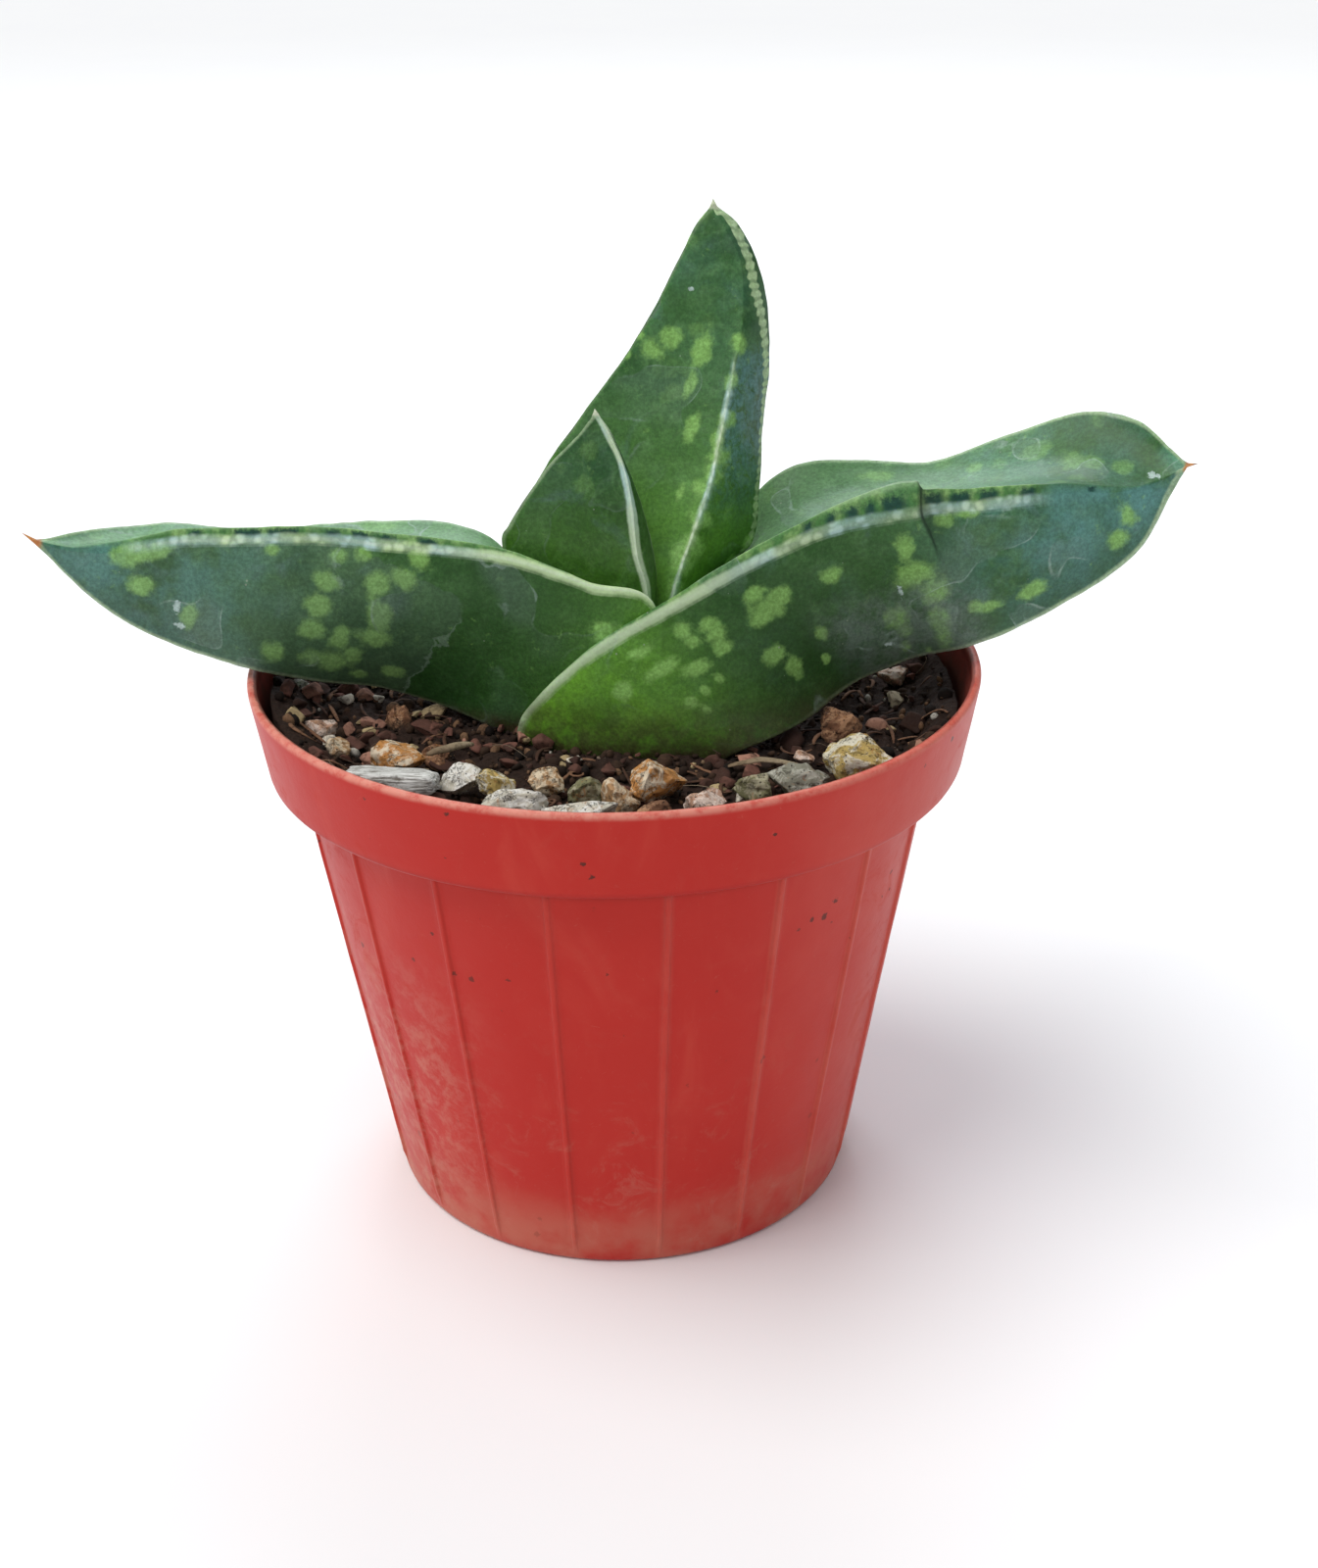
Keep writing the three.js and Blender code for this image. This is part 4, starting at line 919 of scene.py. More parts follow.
def drill(thing):
    """Drain holes through the base plate."""
    tools = bmesh.new()
    for i in range(DRAIN_COUNT):
        angle = 2 * math.pi * (i + 0.5) / DRAIN_COUNT
        reach = DRAIN_CIRCLE_RADIUS * MM
        place = Matrix.Translation((reach * math.cos(angle), reach * math.sin(angle), 0))
        bmesh.ops.create_cone(tools, cap_ends=True, segments=32, radius1=DRAIN_RADIUS * MM,
                              radius2=DRAIN_RADIUS * MM, depth=12 * MM, matrix=place)
    cutter_mesh = bpy.data.meshes.new("cutter")
    tools.to_mesh(cutter_mesh)
    tools.free()
    cutter = bpy.data.objects.new("cutter", cutter_mesh)
    bpy.context.scene.collection.objects.link(cutter)
    cut = thing.modifiers.new("drain", "BOOLEAN")
    cut.object, cut.operation, cut.solver = cutter, "DIFFERENCE", "EXACT"
    bpy.context.view_layer.update()
    result = bpy.data.meshes.new_from_object(thing.evaluated_get(bpy.context.evaluated_depsgraph_get()))
    thing.modifiers.clear()
    thing.data = result
    bpy.data.objects.remove(cutter)


def pot_plastic():
    p = Paint("pot_plastic")
    place = p.mm()
    split = p.node("ShaderNodeSeparateXYZ")
    p.put(split.inputs[0], place)
    x, y, z = (p.wire(split, k) for k in range(3))
    tone = p.mix(p.noise(30, 3, 0.6, shift=4), (0.48, 0.018, 0.012), (0.54, 0.03, 0.02))
    flow = p.noise(9, 4, 0.6, 1.2, vector=p.vector(x * 0.7, y * 0.7, z * 0.25), shift=8)
    tone = p.mix(p.ease(flow, 0.5, 0.8, 0.0, 0.35), tone, (0.6, 0.07, 0.045))
    # The lip is paler where it is worn and where its top edge catches the light: part real wear, part painted
    # highlight.
    lip_wear_and_highlight = (p.ease(z, POT_HEIGHT - 1.1, POT_HEIGHT - 0.2)
        * p.ease(p.noise(2.5, 5, 0.75, shift=14), 0.3, 0.6, 0.25, 1.0))
    tone = p.mix(lip_wear_and_highlight * p.ease(x, -10, 40, 0.8, 0.55), tone, (0.76, 0.33, 0.25))
    radius = p.math("SQRT", x * x + y * y)
    slope = (z - LEDGE_LEVEL) * (COLLAR_TAPER / COLLAR_HEIGHT)
    # Painted shade on the inner wall of the collar above the soil, darkest low down.
    inner_edge = (p.noise(2.2, 3, 0.7, shift=88) - 0.5) * 0.7
    inside = p.ease(radius - COLLAR_FOOT_RADIUS - slope + inner_edge, -1.15, -0.85, 1.0, 0.0)
    inside = inside * p.ease(z, LEDGE_LEVEL - 3, LEDGE_LEVEL)
    depth = p.ease(z + (p.noise(3.5, 4, 0.7, shift=81) - 0.5) * 9.0, SOIL_LEVEL + 1, POT_HEIGHT, 1.0, 0.72)
    tone = p.mix(inside * depth * 0.95, tone, (0.06, 0.026, 0.018))
    chalk = p.ease(p.noise(7, 6, 0.78, 0.8, shift=25), 0.52, 0.72)
    low = p.ease(z, 10, 45, 1.0, 0.15)
    tone = p.mix(chalk * low * 0.34, tone, (0.52, 0.23, 0.17))
    left = p.ease(x, -32, -14, 1.0, 0.0) * p.ease(z, 25, 58, 1.0, 0.0) * p.ease(y, 0, -8)
    grimy = p.ease(p.noise(4.2, 6, 0.74, 0.2, shift=29), 0.42, 0.66)
    tone = p.mix(grimy * left * 0.4, tone, (0.6, 0.33, 0.24))
    part = p.math("FRACT", (p.math("ARCTAN2", y, x) + math.radians(180 + 360 - RIB_START_ANGLE))
        * (RIB_COUNT / math.tau))
    beside = (0.5 - p.math("ABSOLUTE", part - 0.5)) * (math.tau / RIB_COUNT) * radius
    # Painted highlight along the raised ribs, faint on the left and strongest on the lit right side.
    rib_highlight = p.ease(beside, 0.35, 1.1, 1.0, 0.0) * p.ease(z, LEDGE_LEVEL - 0.5, LEDGE_LEVEL - 0.2, 1.0, 0.0)
    rib_highlight = (rib_highlight * p.ease(x, -10, 30, 0.05, 0.3)
        * p.ease(p.noise(6, 3, 0.6, shift=31), 0.2, 0.6, 0.4, 1.0))
    tone = p.mix(rib_highlight, tone, (0.68, 0.2, 0.14))
    foot = p.ease(z, 2, 16, 1.0, 0.0) * p.ease(p.noise(10, 4, 0.6, shift=39), 0.25, 0.65) * 0.6
    tone = p.mix(foot, tone, (0.56, 0.21, 0.14))
    shaded = (p.ease(z, LEDGE_LEVEL - 3.5, LEDGE_LEVEL - 0.3)
        * p.ease(z, LEDGE_LEVEL, LEDGE_LEVEL + 1.2, 1.0, 0.0) * 0.6)
    tone = p.mix(shaded, tone, (0.3, 0.01, 0.008))
    # Painted light: the right side of the wall is paler for the light and floor reflection it catches.
    right_side_light = (p.ease(x, 14, 40) * p.ease(y, 0, -12)
        * p.ease(p.noise(12, 4, 0.6, shift=33), 0.2, 0.7, 0.5, 1.0))
    tone = p.mix(right_side_light * 0.42, tone, (0.64, 0.13, 0.095))
    scuff = p.ease(p.noise(1.8, 6, 0.8, 2.0, shift=37), 0.6, 0.74)
    tone = p.mix(scuff * 0.25, tone, (0.6, 0.26, 0.19))
    speck_place = p.cells(4.2, shift=6) + (p.noise(0.6, 4, 0.8, shift=46) - 0.5) * 0.34
    speck = p.math("LESS_THAN", speck_place, p.ease(p.noise(11, 2, 0.5, shift=44), 0.42, 0.65, 0.0, 0.13))
    speck = speck * p.ease(z, 20, LEDGE_LEVEL, 0.3, 1.0)
    tone = p.mix(speck * 0.85, tone, (0.05, 0.022, 0.014))
    rough_ = 0.34 + chalk * 0.22 + p.noise(3, 4, 0.7, shift=19) * 0.12 + scuff * 0.2
    normal = p.bump(p.noise(0.5, 3, 0.6, shift=61), 0.02)
    normal = p.bump(p.noise(6, 3, 0.5, shift=63), 0.12, normal)
    return p.finish(tone, rough_, normal, **{"IOR": 1.49, "Specular IOR Level": 0.16,
        "Subsurface Weight": 0.08, "Subsurface Radius": (1.0, 0.25, 0.15), "Subsurface Scale": 0.0015})


def pot():
    vertices, faces = pot_mesh()
    thing = make_object("nursery_pot", vertices, faces, ["pot"])
    drill(thing)
    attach(thing, "root")
    thing.data.materials.clear()
    thing.data.materials.append(pot_plastic())
    for polygon in thing.data.polygons:
        polygon.use_smooth = True
    return thing


# ------------------------------------------------------------------ soil and what lies on it

GAP = 0.35
SOIL_RADIUS = collar_radius(SOIL_LEVEL - 2) - WALL - GAP
CRUMB_RADIUS = SOIL_RADIUS - 0.6
CHUNK_RADIUS = 47.5
LITTER_RADIUS = 47.0
STRAND_POINTS = 7
SOIL_SIDES, SOIL_RINGS = 420, 125


def soil_height(x, y):
    """Height of the settled soil in mm, without its crumbs."""
    tilt = -SOIL_TILT * x / RIM_RADIUS
    bumps = np.sin(x * 0.31 + 1.3) * np.cos(y * 0.27) + 0.6 * np.sin(x * 0.13 - y * 0.41)
    heap = 1.4 + 2.8 * smooth(np.abs(x) / SOIL_RADIUS, 0.55, 0.95)
    bank = heap * smooth(np.hypot(x, y) / SOIL_RADIUS, 0.84, 1.0)
    return SOIL_LEVEL + tilt + 0.5 * bumps + bank


def soil_body():
    angles = np.linspace(0, 2 * math.pi, SOIL_SIDES, endpoint=False)
    bottom = PLATE_LIFT + WALL + 0.3
    step = LEDGE_LEVEL + WALL + 0.3
    inset = WALL + GAP
    rings = []
    for radius, z in ((wall_radius(bottom) - inset, bottom), (wall_radius(step) - inset, step),
                      (collar_radius(step) - inset, step)):
        rings.append(np.stack([radius * np.cos(angles), radius * np.sin(angles), np.full(SOIL_SIDES, z)], 1))
    for share in np.linspace(1, 0.02, SOIL_RINGS):
        x, y = share * SOIL_RADIUS * np.cos(angles), share * SOIL_RADIUS * np.sin(angles)
        flat = np.stack([x, y, 0 * x], 1)
        clods = 0.75 * rough(flat, 4.2, 4, 101) + 0.35 * np.abs(rough(flat, 1.6, 3, 107))
        rings.append(np.stack([x, y, soil_height(x, y) - 0.5 + clods], 1))
    rings = np.array(rings)
    vertices = np.vstack([[0, 0, bottom], rings.reshape(-1, 3), [0, 0, rings[-1, :, 2].mean()]])
    faces = outwards(vertices, skin_faces(len(rings), SOIL_SIDES))
    thing = make_object("potting_soil", vertices, faces, ["soil"])
    thing.data.materials.append(soil_paint())
    return thing


def soil_paint():
    p = Paint("potting_soil")
    peat = p.mix(p.noise(1.6, 5, 0.7, shift=3), (0.009, 0.005, 0.004), (0.058, 0.029, 0.019))
    fibre = p.ease(p.noise(0.7, 4, 0.7, 2.5, shift=13), 0.56, 0.7)
    peat = p.mix(fibre * 0.6, peat, (0.105, 0.05, 0.028))
    grit = p.math("LESS_THAN", p.cells(0.9, shift=5),
        p.ease(p.noise(5, 2, 0.5, shift=8), 0.5, 0.7, 0.0, 0.22))
    peat = p.mix(grit * 0.7, peat, (0.26, 0.21, 0.16))
    normal = p.bump(p.noise(0.6, 6, 0.75, shift=4), 0.5)
    normal = p.bump(p.cells(0.8, shift=2), 0.25, normal)
    return p.finish(peat, p.ease(p.noise(2, 3, 0.6), 0.2, 0.8, 0.78, 1.0), normal,
        **{"Specular IOR Level": 0.25})


def unit_ball(levels):
    ball = bmesh.new()
    bmesh.ops.create_icosphere(ball, subdivisions=levels, radius=1.0)
    points = np.array([v.co[:] for v in ball.verts])
    faces = [[v.index for v in f.verts] for f in ball.faces]
    ball.free()
    return points / np.linalg.norm(points, axis=1, keepdims=True), faces


def turn(angles):
    x, y, z = (Matrix.Rotation(angle, 3, axis) for angle, axis in zip(angles, "XYZ"))
    return np.array(x @ y @ z)


def chipped(points, random, chips, nearest, farthest, bite=1.0):
    """A lump with flat faces knocked off it, nearest to farthest from its middle."""
    for _ in range(chips):
        facing = random.normal(size=3)
        facing /= np.linalg.norm(facing)
        over = points @ facing - random.uniform(nearest, farthest)
        points -= np.outer(np.maximum(over, 0), facing) * bite
    return points


# Colours of the gravel, from linear light values: body and stain.
STONE_TONES = {
    "pink": ((0.520, 0.300, 0.200), (0.800, 0.640, 0.540)),
    "pale": ((0.640, 0.590, 0.480), (0.860, 0.830, 0.760)),
    "tan": ((0.460, 0.260, 0.120), (0.760, 0.620, 0.440)),
    "orange": ((0.560, 0.250, 0.070), (0.820, 0.680, 0.500)),
    "yellow": ((0.560, 0.400, 0.130), (0.820, 0.760, 0.600)),
    "grey": ((0.260, 0.250, 0.190), (0.500, 0.480, 0.400)),
    "green": ((0.200, 0.190, 0.090), (0.460, 0.420, 0.280)),
    "brown": ((0.200, 0.090, 0.045), (0.480, 0.260, 0.140)),
}
STONE_SCALE = {"pale": 1.24, "tan": 1.16, "orange": 1.14, "grey": 1.16}
STONE_ORDER = (
    "pink pale orange brown brown pale yellow tan green pale pale orange tan brown pink green grey yellow"
    " brown pink brown tan tan grey tan pale yellow orange green tan pink"
).split()


def stone_paint(tone):
    body, stain = STONE_TONES[tone]
    p = Paint("gravel_" + tone)
    patch = p.noise(2.6, 6, 0.75, 0.8, shift=3) + (p.field("facet") - 0.5) * 0.22
    colour = p.mix(p.ease(patch, 0.46, 0.56), body, stain)
    rust = p.ease(p.noise(1.7, 5, 0.75, 1.0, shift=17), 0.57, 0.66)
    colour = p.mix(rust * 0.65, colour, (0.42, 0.17, 0.045))
    pits = p.ease(p.cells(0.6, shift=9), 0.1, 0.26, 1.0, 0.0)
    pits = pits * p.ease(p.noise(1.6, 3, 0.6, shift=21), 0.46, 0.56)
    colour = p.mix(pits * 0.9, colour, (0.03, 0.02, 0.014))
    crevice = p.stripe(p.noise(1.9, 5, 0.7, 1.2, shift=25) - 0.5, 0.004, 0.022)
    crevice = crevice * p.ease(p.noise(2.4, 2, 0.5, shift=27), 0.46, 0.6)
    colour = p.mix(crevice * 0.8, colour, (0.06, 0.04, 0.025))
    dirt = p.ease(p.field("under"), 0.1, 0.9)
    colour = p.mix(dirt * p.ease(p.noise(1.2, 4, 0.7, shift=29), 0.25, 0.6) * 0.85, colour,
        (0.045, 0.027, 0.018))
    normal = p.bump(p.noise(0.7, 6, 0.8, shift=6), 0.3)
    normal = p.bump(pits, -0.2, normal)
    normal = p.bump(crevice, -0.15, normal)
    return p.finish(colour, p.ease(p.noise(0.8, 3, 0.6, shift=2), 0.2, 0.8, 0.62, 0.95), normal,
        **{"Specular IOR Level": 0.35})


def gravel():
    """Each stone of the frame as a broken, weathered pebble in the same box."""
    ball, faces = unit_ball(5)
    paints = {tone: stone_paint(tone) for tone in STONE_TONES}
    for index, tone in enumerate(STONE_ORDER):
        node = f"stone_{index + 1:02d}"
        low, high = (np.array(corner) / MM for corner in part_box(node))
        random = np.random.default_rng(900 + index)
        points = ball.copy()
        points += ball * (0.13 * rough(ball + index * 7, 0.9, 2, 300))[:, None]
        points = chipped(points, random, 13, 0.45, 0.82, 0.97)
        hollow = random.normal(size=3)
        hollow /= np.linalg.norm(hollow)
        nearness = np.exp(-(((points - hollow * 0.75) ** 2).sum(1)) / 0.16)
        points -= ball * (0.16 * nearness)[:, None]
        facet = 0.5 + 0.5 * rough(np.round(points * 2.2) / 2.2 + index, 0.7, 1, 305)
        points += ball * (0.055 * rough(points + index * 3, 0.3, 4, 311))[:, None]
        points -= ball * (0.10 * smooth(rough(points - index * 5, 0.42, 2, 317), 0.35, 0.8))[:, None]
        points -= (points.max(0) + points.min(0)) / 2
        points /= (points.max(0) - points.min(0))
        points = (low + high) / 2 + points * (high - low) * STONE_SCALE.get(tone, 1.1)
        ground = soil_height(points[:, 0], points[:, 1])
        under = np.clip(1 - (points[:, 2] - ground) / 1.6, 0, 1)
        fields = {"under": under, "facet": facet}
        stone = make_object(f"pebble_{index + 1:02d}", points, faces, [node], fields)
        stone.data.materials.append(paints[tone])


def scatter(name, seed, count, levels, lump, paint):
    """Many loose lumps as one piece, each from lump(random, ball, index)."""
    random = np.random.default_rng(seed)
    ball, ball_faces = unit_ball(levels)
    vertices, faces, tones = [], [], []
    for index in range(count):
        start = len(vertices) * len(ball)
        vertices.append(lump(random, ball, index))
        faces += [[start + k for k in f] for f in ball_faces]
        tones.append(np.full(len(ball), random.uniform()))
    thing = make_object(name, np.vstack(vertices), faces, (), {"tone": np.concatenate(tones)})
    thing.data.materials.append(paint)


def on_soil(distance, angle, lift):
    x, y = distance * math.cos(angle), distance * math.sin(angle)
    return [x, y, soil_height(np.array(x), np.array(y)) + lift(x, y)]


def crumb(random, ball, index):
    distance = CRUMB_RADIUS * math.sqrt(random.uniform(0, 1))
    angle = random.uniform(0, 2 * math.pi)
    size = 0.28 + 0.75 * random.uniform() ** 3
    lump = ball * (1 + 0.22 * rough(ball + index, 0.7, 2, 5))[:, None]
    lump = lump * size * random.uniform(0.6, 1.3, 3) @ turn(random.uniform(0, 6.28, 3)).T
    return (lump + on_soil(distance, angle, lambda x, y: -0.1 + 0.4
        * rough(np.array([[x, y, 0]]), 4.2, 2, 101)[0]))


def chunk(random, ball, index):
    """Broken bark and small gravel, thickest at the front and left."""
    distance = CHUNK_RADIUS * math.sqrt(random.uniform(0.05, 1))
    angle = random.uniform(0, 2 * math.pi) if index % 3 else random.uniform(math.pi * 0.8, math.pi * 1.75)
    size = 0.6 + 1.6 * random.uniform() ** 2
    lump = ball + ball * (0.15 * rough(ball + index, 0.8, 2, 5))[:, None]
    lump = chipped(lump, random, 9, 0.4, 0.8)
    shape = np.sort(random.uniform(0.45, 1.25, 3))[::-1]
    lump = lump * size * shape @ turn(random.uniform(-0.5, 0.5, 3) + [0, 0, index]).T
    return lump + on_soil(distance, angle, lambda x, y: 0.15 * size)


def crumb_paint():
    p = Paint("crumbs")
    tone = p.field("tone")
    colour = p.mix(p.ease(tone, 0.0, 0.75), (0.008, 0.005, 0.004), (0.06, 0.032, 0.019))
    colour = p.mix(p.ease(tone, 0.84, 0.86), colour, (0.2, 0.11, 0.06))
    colour = p.mix(p.ease(tone, 0.965, 0.975), colour, (0.56, 0.52, 0.45))
    colour = p.mix(p.ease(p.noise(0.5, 4, 0.7), 0.4, 0.7, 0.0, 0.6), colour, (0.02, 0.012, 0.008))
    dull = p.ease(p.noise(0.6, 3, 0.6), 0.2, 0.8, 0.8, 1.0)
    return p.finish(colour, dull, p.bump(p.noise(0.25, 4, 0.7), 0.1), **{"Specular IOR Level": 0.2})


def chunk_paint():
    p = Paint("soil_chunks")
    tone = p.field("tone")
    colour = p.mix(p.ease(tone, 0.0, 0.7), (0.03, 0.014, 0.01), (0.19, 0.08, 0.058))
    colour = p.mix(p.ease(tone, 0.7, 0.72), colour, (0.4, 0.2, 0.14))
    colour = p.mix(p.ease(tone, 0.84, 0.86), colour, (0.48, 0.36, 0.19))
    colour = p.mix(p.ease(tone, 0.93, 0.94), colour, (0.76, 0.68, 0.56))
    colour = p.mix(p.ease(p.noise(1.2, 4, 0.7, 0.5), 0.42, 0.68, 0.0, 0.75), colour, (0.045, 0.022, 0.014))
    dull = p.ease(p.noise(0.6, 3, 0.6), 0.2, 0.8, 0.75, 0.98)
    return p.finish(colour, dull, p.bump(p.noise(0.45, 4, 0.7), 0.12), **{"Specular IOR Level": 0.25})


def ribbon(points, width, thickness, lean, sides=6):
    """A flat strip or, with width equal to thickness, a thin stalk, closed at both ends."""
    points = np.asarray(points, float)
    along = np.gradient(points, axis=0)
    along /= np.linalg.norm(along, axis=1, keepdims=True)
    across = np.cross(along, [0, 0, 1.0])
    across /= np.linalg.norm(across, axis=1, keepdims=True) + 1e-9
    upward = np.cross(across, along)
    taper = np.sin(np.pi * np.clip(np.linspace(0.06, 0.94, len(points)), 0, 1)) ** 0.4
    rings = []
    for k in range(sides):
        angle = 2 * math.pi * k / sides + lean
        rings.append(points + across * (width / 2 * math.cos(angle) * taper)[:, None]
                     + upward * (thickness / 2 * math.sin(angle) * taper)[:, None])
    rings = np.stack(rings, 1)
    start, end = points[0] - along[0] * thickness * 0.2, points[-1] + along[-1] * thickness * 0.2
    return np.vstack([start, rings.reshape(-1, 3), end]), skin_faces(len(points), sides)


def strands(name, count, seed, length, width, thickness, curl, paint, float_up=0.5):
    """Many short shreds or hairs lying on the soil at random."""
    random = np.random.default_rng(seed)
    vertices, faces, tones, total = [], [], [], 0
    for _ in range(count):
        distance = LITTER_RADIUS * math.sqrt(random.uniform(0.02, 1))
        angle = random.uniform(0, 2 * math.pi)
        heading = random.uniform(0, 2 * math.pi)
        run = random.uniform(*length)
        bend = random.normal() * curl
        place = np.array([distance * math.cos(angle), distance * math.sin(angle)])
        points = []
        for _ in range(STRAND_POINTS):
            points.append([*place, 0])
            place = place + run / STRAND_POINTS * np.array([math.cos(heading), math.sin(heading)])
            heading += bend / STRAND_POINTS
        points = np.array(points)
        out = np.hypot(points[:, 0], points[:, 1]).max()
        if out > LITTER_RADIUS + 1:
            points[:, :2] *= (LITTER_RADIUS + 1) / out
        points[:, 2] = soil_height(points[:, 0], points[:, 1]) + random.uniform(0.1, 0.5)
        points[:, 2] += float_up * random.uniform() * np.sin(np.linspace(0, math.pi, STRAND_POINTS))
        strip, strip_faces = ribbon(points, random.uniform(0.6, 1.0) * width, thickness, random.uniform(0, 1))
        vertices.append(strip)
        faces += [[total + k for k in f] for f in strip_faces]
        total += len(strip)
        tones.append(np.full(len(strip), random.uniform()))
    thing = make_object(name, np.vstack(vertices), faces, (), {"tone": np.concatenate(tones)})
    thing.data.materials.append(paint)


def strand_paint(name, dark, light):
    p = Paint(name)
    colour = p.mix(p.ease(p.field("tone"), 0.0, 1.0), dark, light)
    colour = p.mix(p.ease(p.noise(0.8, 4, 0.7), 0.45, 0.7, 0.0, 0.6), colour,
        tuple((0.35 * c for c in dark)))
    return p.finish(colour, p.ease(p.noise(0.5, 2, 0.5), 0.2, 0.8, 0.7, 0.95),
        p.bump(p.noise(0.3, 3, 0.7), 0.08), **{"Specular IOR Level": 0.3})


def bark_paint():
    p = Paint("weathered_bark")
    lines = p.noise(0.5, 4, 0.7, 0.4, vector=p.mm(stretch=(0.12, 1.6, 1.6)), shift=3)
    colour = p.mix(p.ease(lines, 0.32, 0.6), (0.23, 0.21, 0.18), (0.86, 0.85, 0.81))
    colour = p.mix(p.ease(p.noise(2.5, 4, 0.7, shift=12), 0.5, 0.7, 0.0, 0.6), colour, (0.1, 0.075, 0.05))
    return p.finish(colour, p.ease(lines, 0.2, 0.8, 0.95, 0.75), p.bump(lines, 0.35),
        **{"Specular IOR Level": 0.25})


def bark_slab():
    low, high = (np.array(corner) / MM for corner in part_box("bark_slab"))
    ball, faces = unit_ball(5)
    points = np.sign(ball) * np.abs(ball) ** 0.45
    points /= np.abs(points).max(0)
    points *= 1 + 0.06 * rough(points * [1, 3, 3], 0.6, 3, 8)[:, None]
    size = np.array([12.6, 5.6, 3.0])
    spin = turn((math.radians(-12), math.radians(3), math.radians(-8)))
    points = (points * size / 2) @ spin.T + (low + high) / 2
    points = np.clip(points, low - 0.8, high + 0.8)
    thing = make_object("bark_chip", points, faces, ["bark_slab"])
    thing.data.materials.append(bark_paint())


def twigs():
    paint = strand_paint("dry_stalk", (0.160, 0.100, 0.055), (0.400, 0.320, 0.210))
    for index in (1, 2):
        node = f"twig_{index:02d}"
        low, high = (np.array(corner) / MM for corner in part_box(node))
        rises = index == 1
        middle, rest = (low[1] + high[1]) / 2, low[2] + 0.8
        start = np.array([low[0], low[1] if rises else middle, high[2] - 0.8 if rises else rest])
        end = np.array([high[0], high[1] if rises else middle, rest])
        t = np.linspace(0, 1, 14)[:, None]
        line = start * (1 - t) + end * t
        line[:, 2] += (0.9 if not rises else 0.2) * np.sin(np.pi * t[:, 0])
        line += 0.12 * np.stack([rough(line + 9 * k, 1.5, 2, 60 + k) for k in range(3)], 1)
        vertices, faces = ribbon(line, 1.5, 0.55 if not rises else 1.0, 0.3, 10)
        thing = make_object(f"stalk_{index:02d}", vertices, outwards(vertices, faces), [node],
                            {"tone": np.linspace(0.2, 0.9, len(vertices))})
        thing.data.materials.append(paint)


def fibre_paint(name, size, dark, light, grain, depth):
    p = Paint(name)
    dull = p.ease(p.noise(2, 2), 0.2, 0.8, 0.6, 0.9)
    return p.finish(p.mix(p.noise(size, 4, 0.7), dark, light), dull, p.bump(p.noise(grain, 3, 0.6), depth))


def hidden_parts():
    """The stem and roots stay as the frame has them, with their own finish."""
    stem = fibre_paint("stem_fibre", 1.5, (0.160, 0.180, 0.070), (0.360, 0.360, 0.200), 0.8, 0.3)
    root = fibre_paint("root_skin", 1.2, (0.270, 0.160, 0.070), (0.560, 0.420, 0.240), 0.6, 0.25)
    for name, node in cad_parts.items():
        if name == "stem" or name.startswith("root_"):
            node.data.materials.clear()
            node.data.materials.append(stem if name == "stem" else root)


# ------------------------------------------------------------------ stage

CAMERA_PLACE = (0, -301.6, 202.5)
CAMERA_TARGET = (6.2, 0, 60.5)
CAMERA_ROLL = math.radians(-0.54)
CAMERA_LENS, CAMERA_SENSOR = 51.75, 36


def camera():
    """Level with a hand-held look at the plant: from the front, above and close."""
    place, target = Vector(CAMERA_PLACE) * MM, Vector(CAMERA_TARGET) * MM
    forward = (target - place).normalized()
    right = forward.cross(Vector((0, 0, 1))).normalized()
    up = right.cross(forward)
    cos, sin = math.cos(CAMERA_ROLL), math.sin(CAMERA_ROLL)
    right, up = right * cos + up * sin, up * cos - right * sin
    data = bpy.data.cameras.new("camera")
    data.lens, data.sensor_width = CAMERA_LENS, CAMERA_SENSOR
    data.clip_start, data.clip_end = 0.01, 20
    eye = bpy.data.objects.new("camera", data)
    eye.matrix_world = Matrix.Translation(place) @ Matrix((right, up, -forward)).transposed().to_4x4()
    bpy.context.scene.collection.objects.link(eye)
    bpy.context.scene.camera = eye


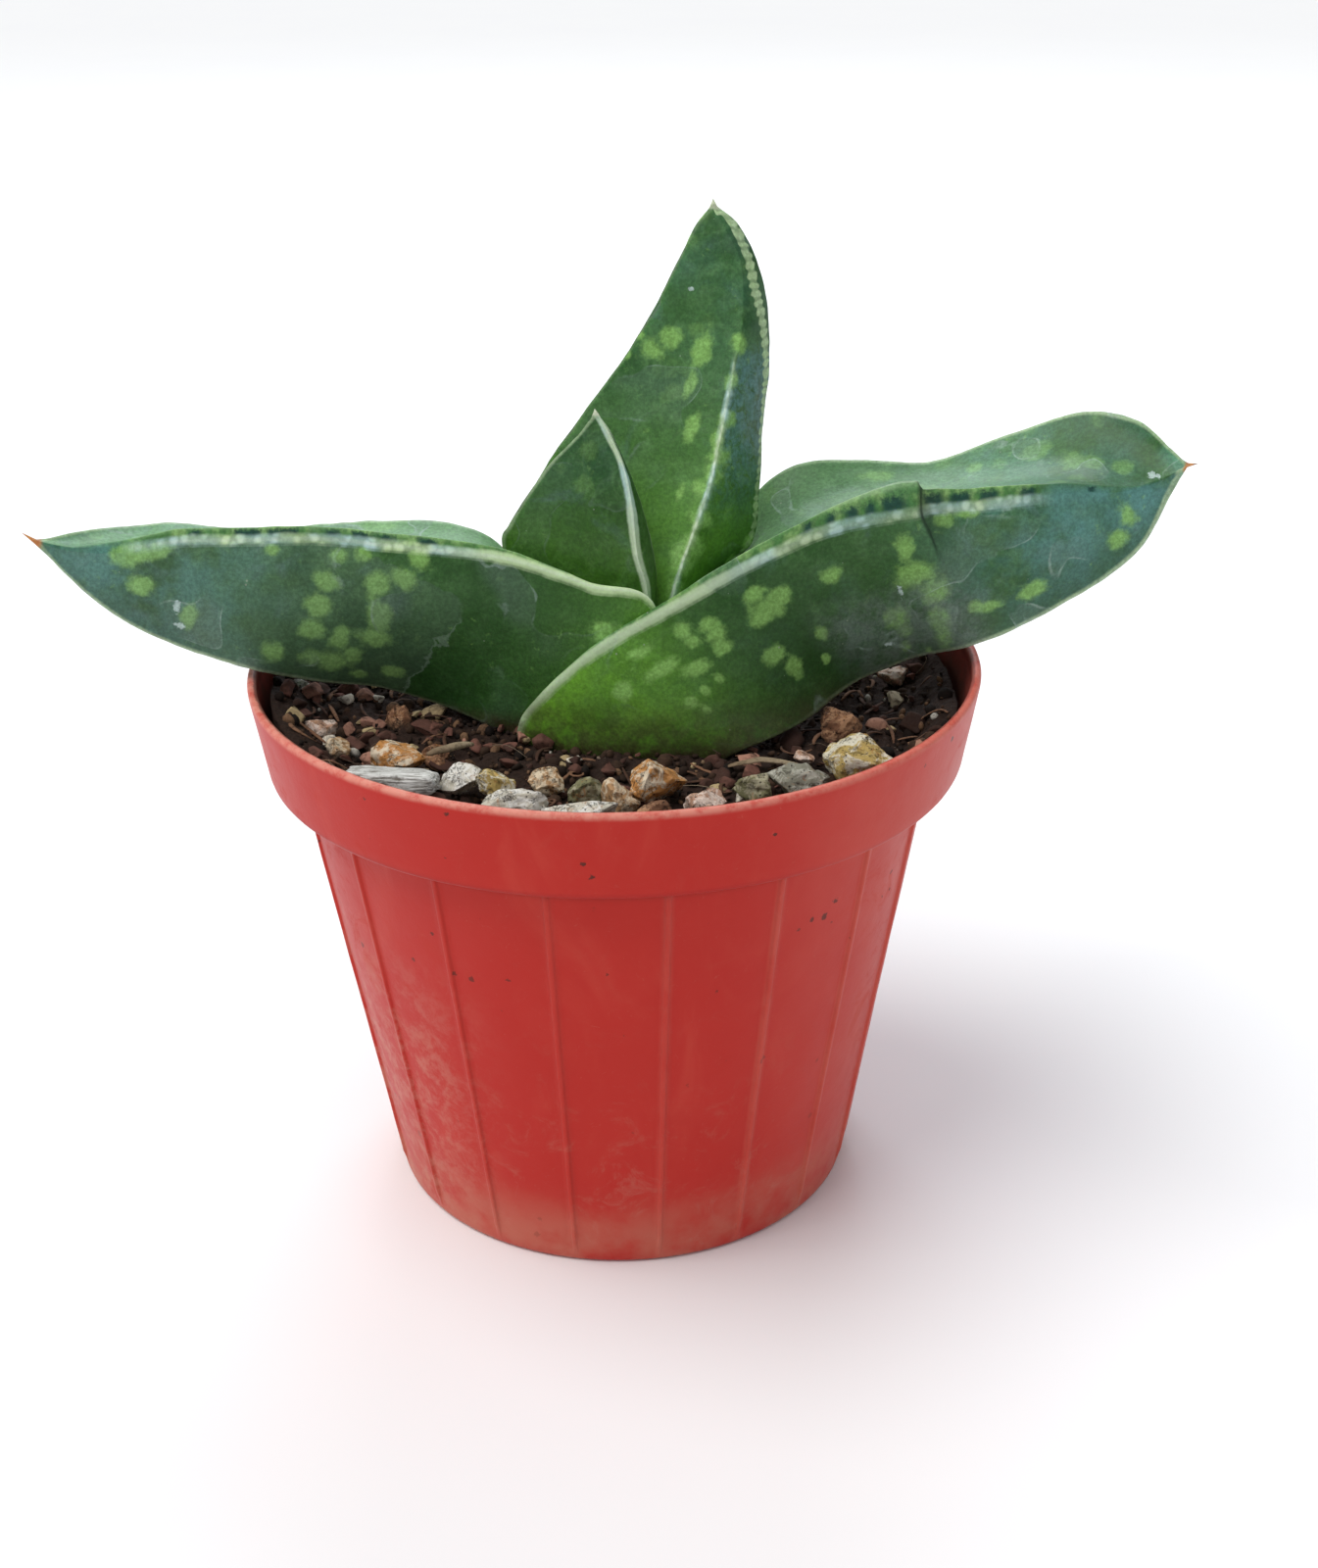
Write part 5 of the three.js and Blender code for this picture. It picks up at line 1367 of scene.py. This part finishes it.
def light(name, kind, place, target, power, colour, **shape):
    data = bpy.data.lights.new(name, kind)
    data.energy, data.color = power, colour
    for key, value in shape.items():
        setattr(data, key, value)
    lamp = bpy.data.objects.new(name, data)
    lamp.location = place
    lamp.rotation_euler = (Vector(target) - Vector(place)).to_track_quat("-Z", "Y").to_euler()
    bpy.context.scene.collection.objects.link(lamp)


def floor():
    sheet = bmesh.new()
    bmesh.ops.create_grid(sheet, x_segments=2, y_segments=2, size=3.0)
    mesh = bpy.data.meshes.new("floor")
    sheet.to_mesh(mesh)
    sheet.free()
    ground = bpy.data.objects.new("floor", mesh)
    bpy.context.scene.collection.objects.link(ground)
    p = Paint("pale_floor")
    colour = p.mix(p.noise(60, 2, 0.5), (0.93, 0.93, 0.94), (0.95, 0.95, 0.95))
    mesh.materials.append(p.finish(colour, 0.7))


def studio():
    world = bpy.data.worlds.new("studio")
    world.use_nodes = True
    background = world.node_tree.nodes["Background"]
    background.inputs["Color"].default_value = (0.93, 0.96, 1.0, 1)
    background.inputs["Strength"].default_value = 0.48
    bpy.context.scene.world = world
    light("daylight", "SUN", (-0.45, -0.12, 0.9), (0, 0, 0), 2.1, (1.0, 0.99, 0.97), angle=math.radians(50))
    light("sky", "AREA", (0.05, 0.75, 0.75), (0, 0, 0.08), 3.5, (0.85, 0.93, 1.0), shape="DISK", size=0.6)
    bpy.context.scene.view_settings.view_transform = "Standard"


camera()
studio()
floor()
pot()
soil_body()
gravel()
scatter("soil_crumbs", 41, 2200, 2, crumb, crumb_paint())
scatter("soil_chunks", 67, 460, 3, chunk, chunk_paint())
strands("bark_shreds", 260, 51, (2.5, 7), 0.75, 0.22, 1.6,
        strand_paint("bark_shreds", (0.045, 0.018, 0.010), (0.220, 0.110, 0.060)))
strands("root_hairs", 70, 57, (3, 9), 0.10, 0.10, 2.6,
        strand_paint("root_hairs", (0.070, 0.045, 0.030), (0.330, 0.250, 0.170)), float_up=1.2)
bark_slab()
twigs()
for leaf_name in LEAVES:
    leaf(leaf_name)
hidden_parts()
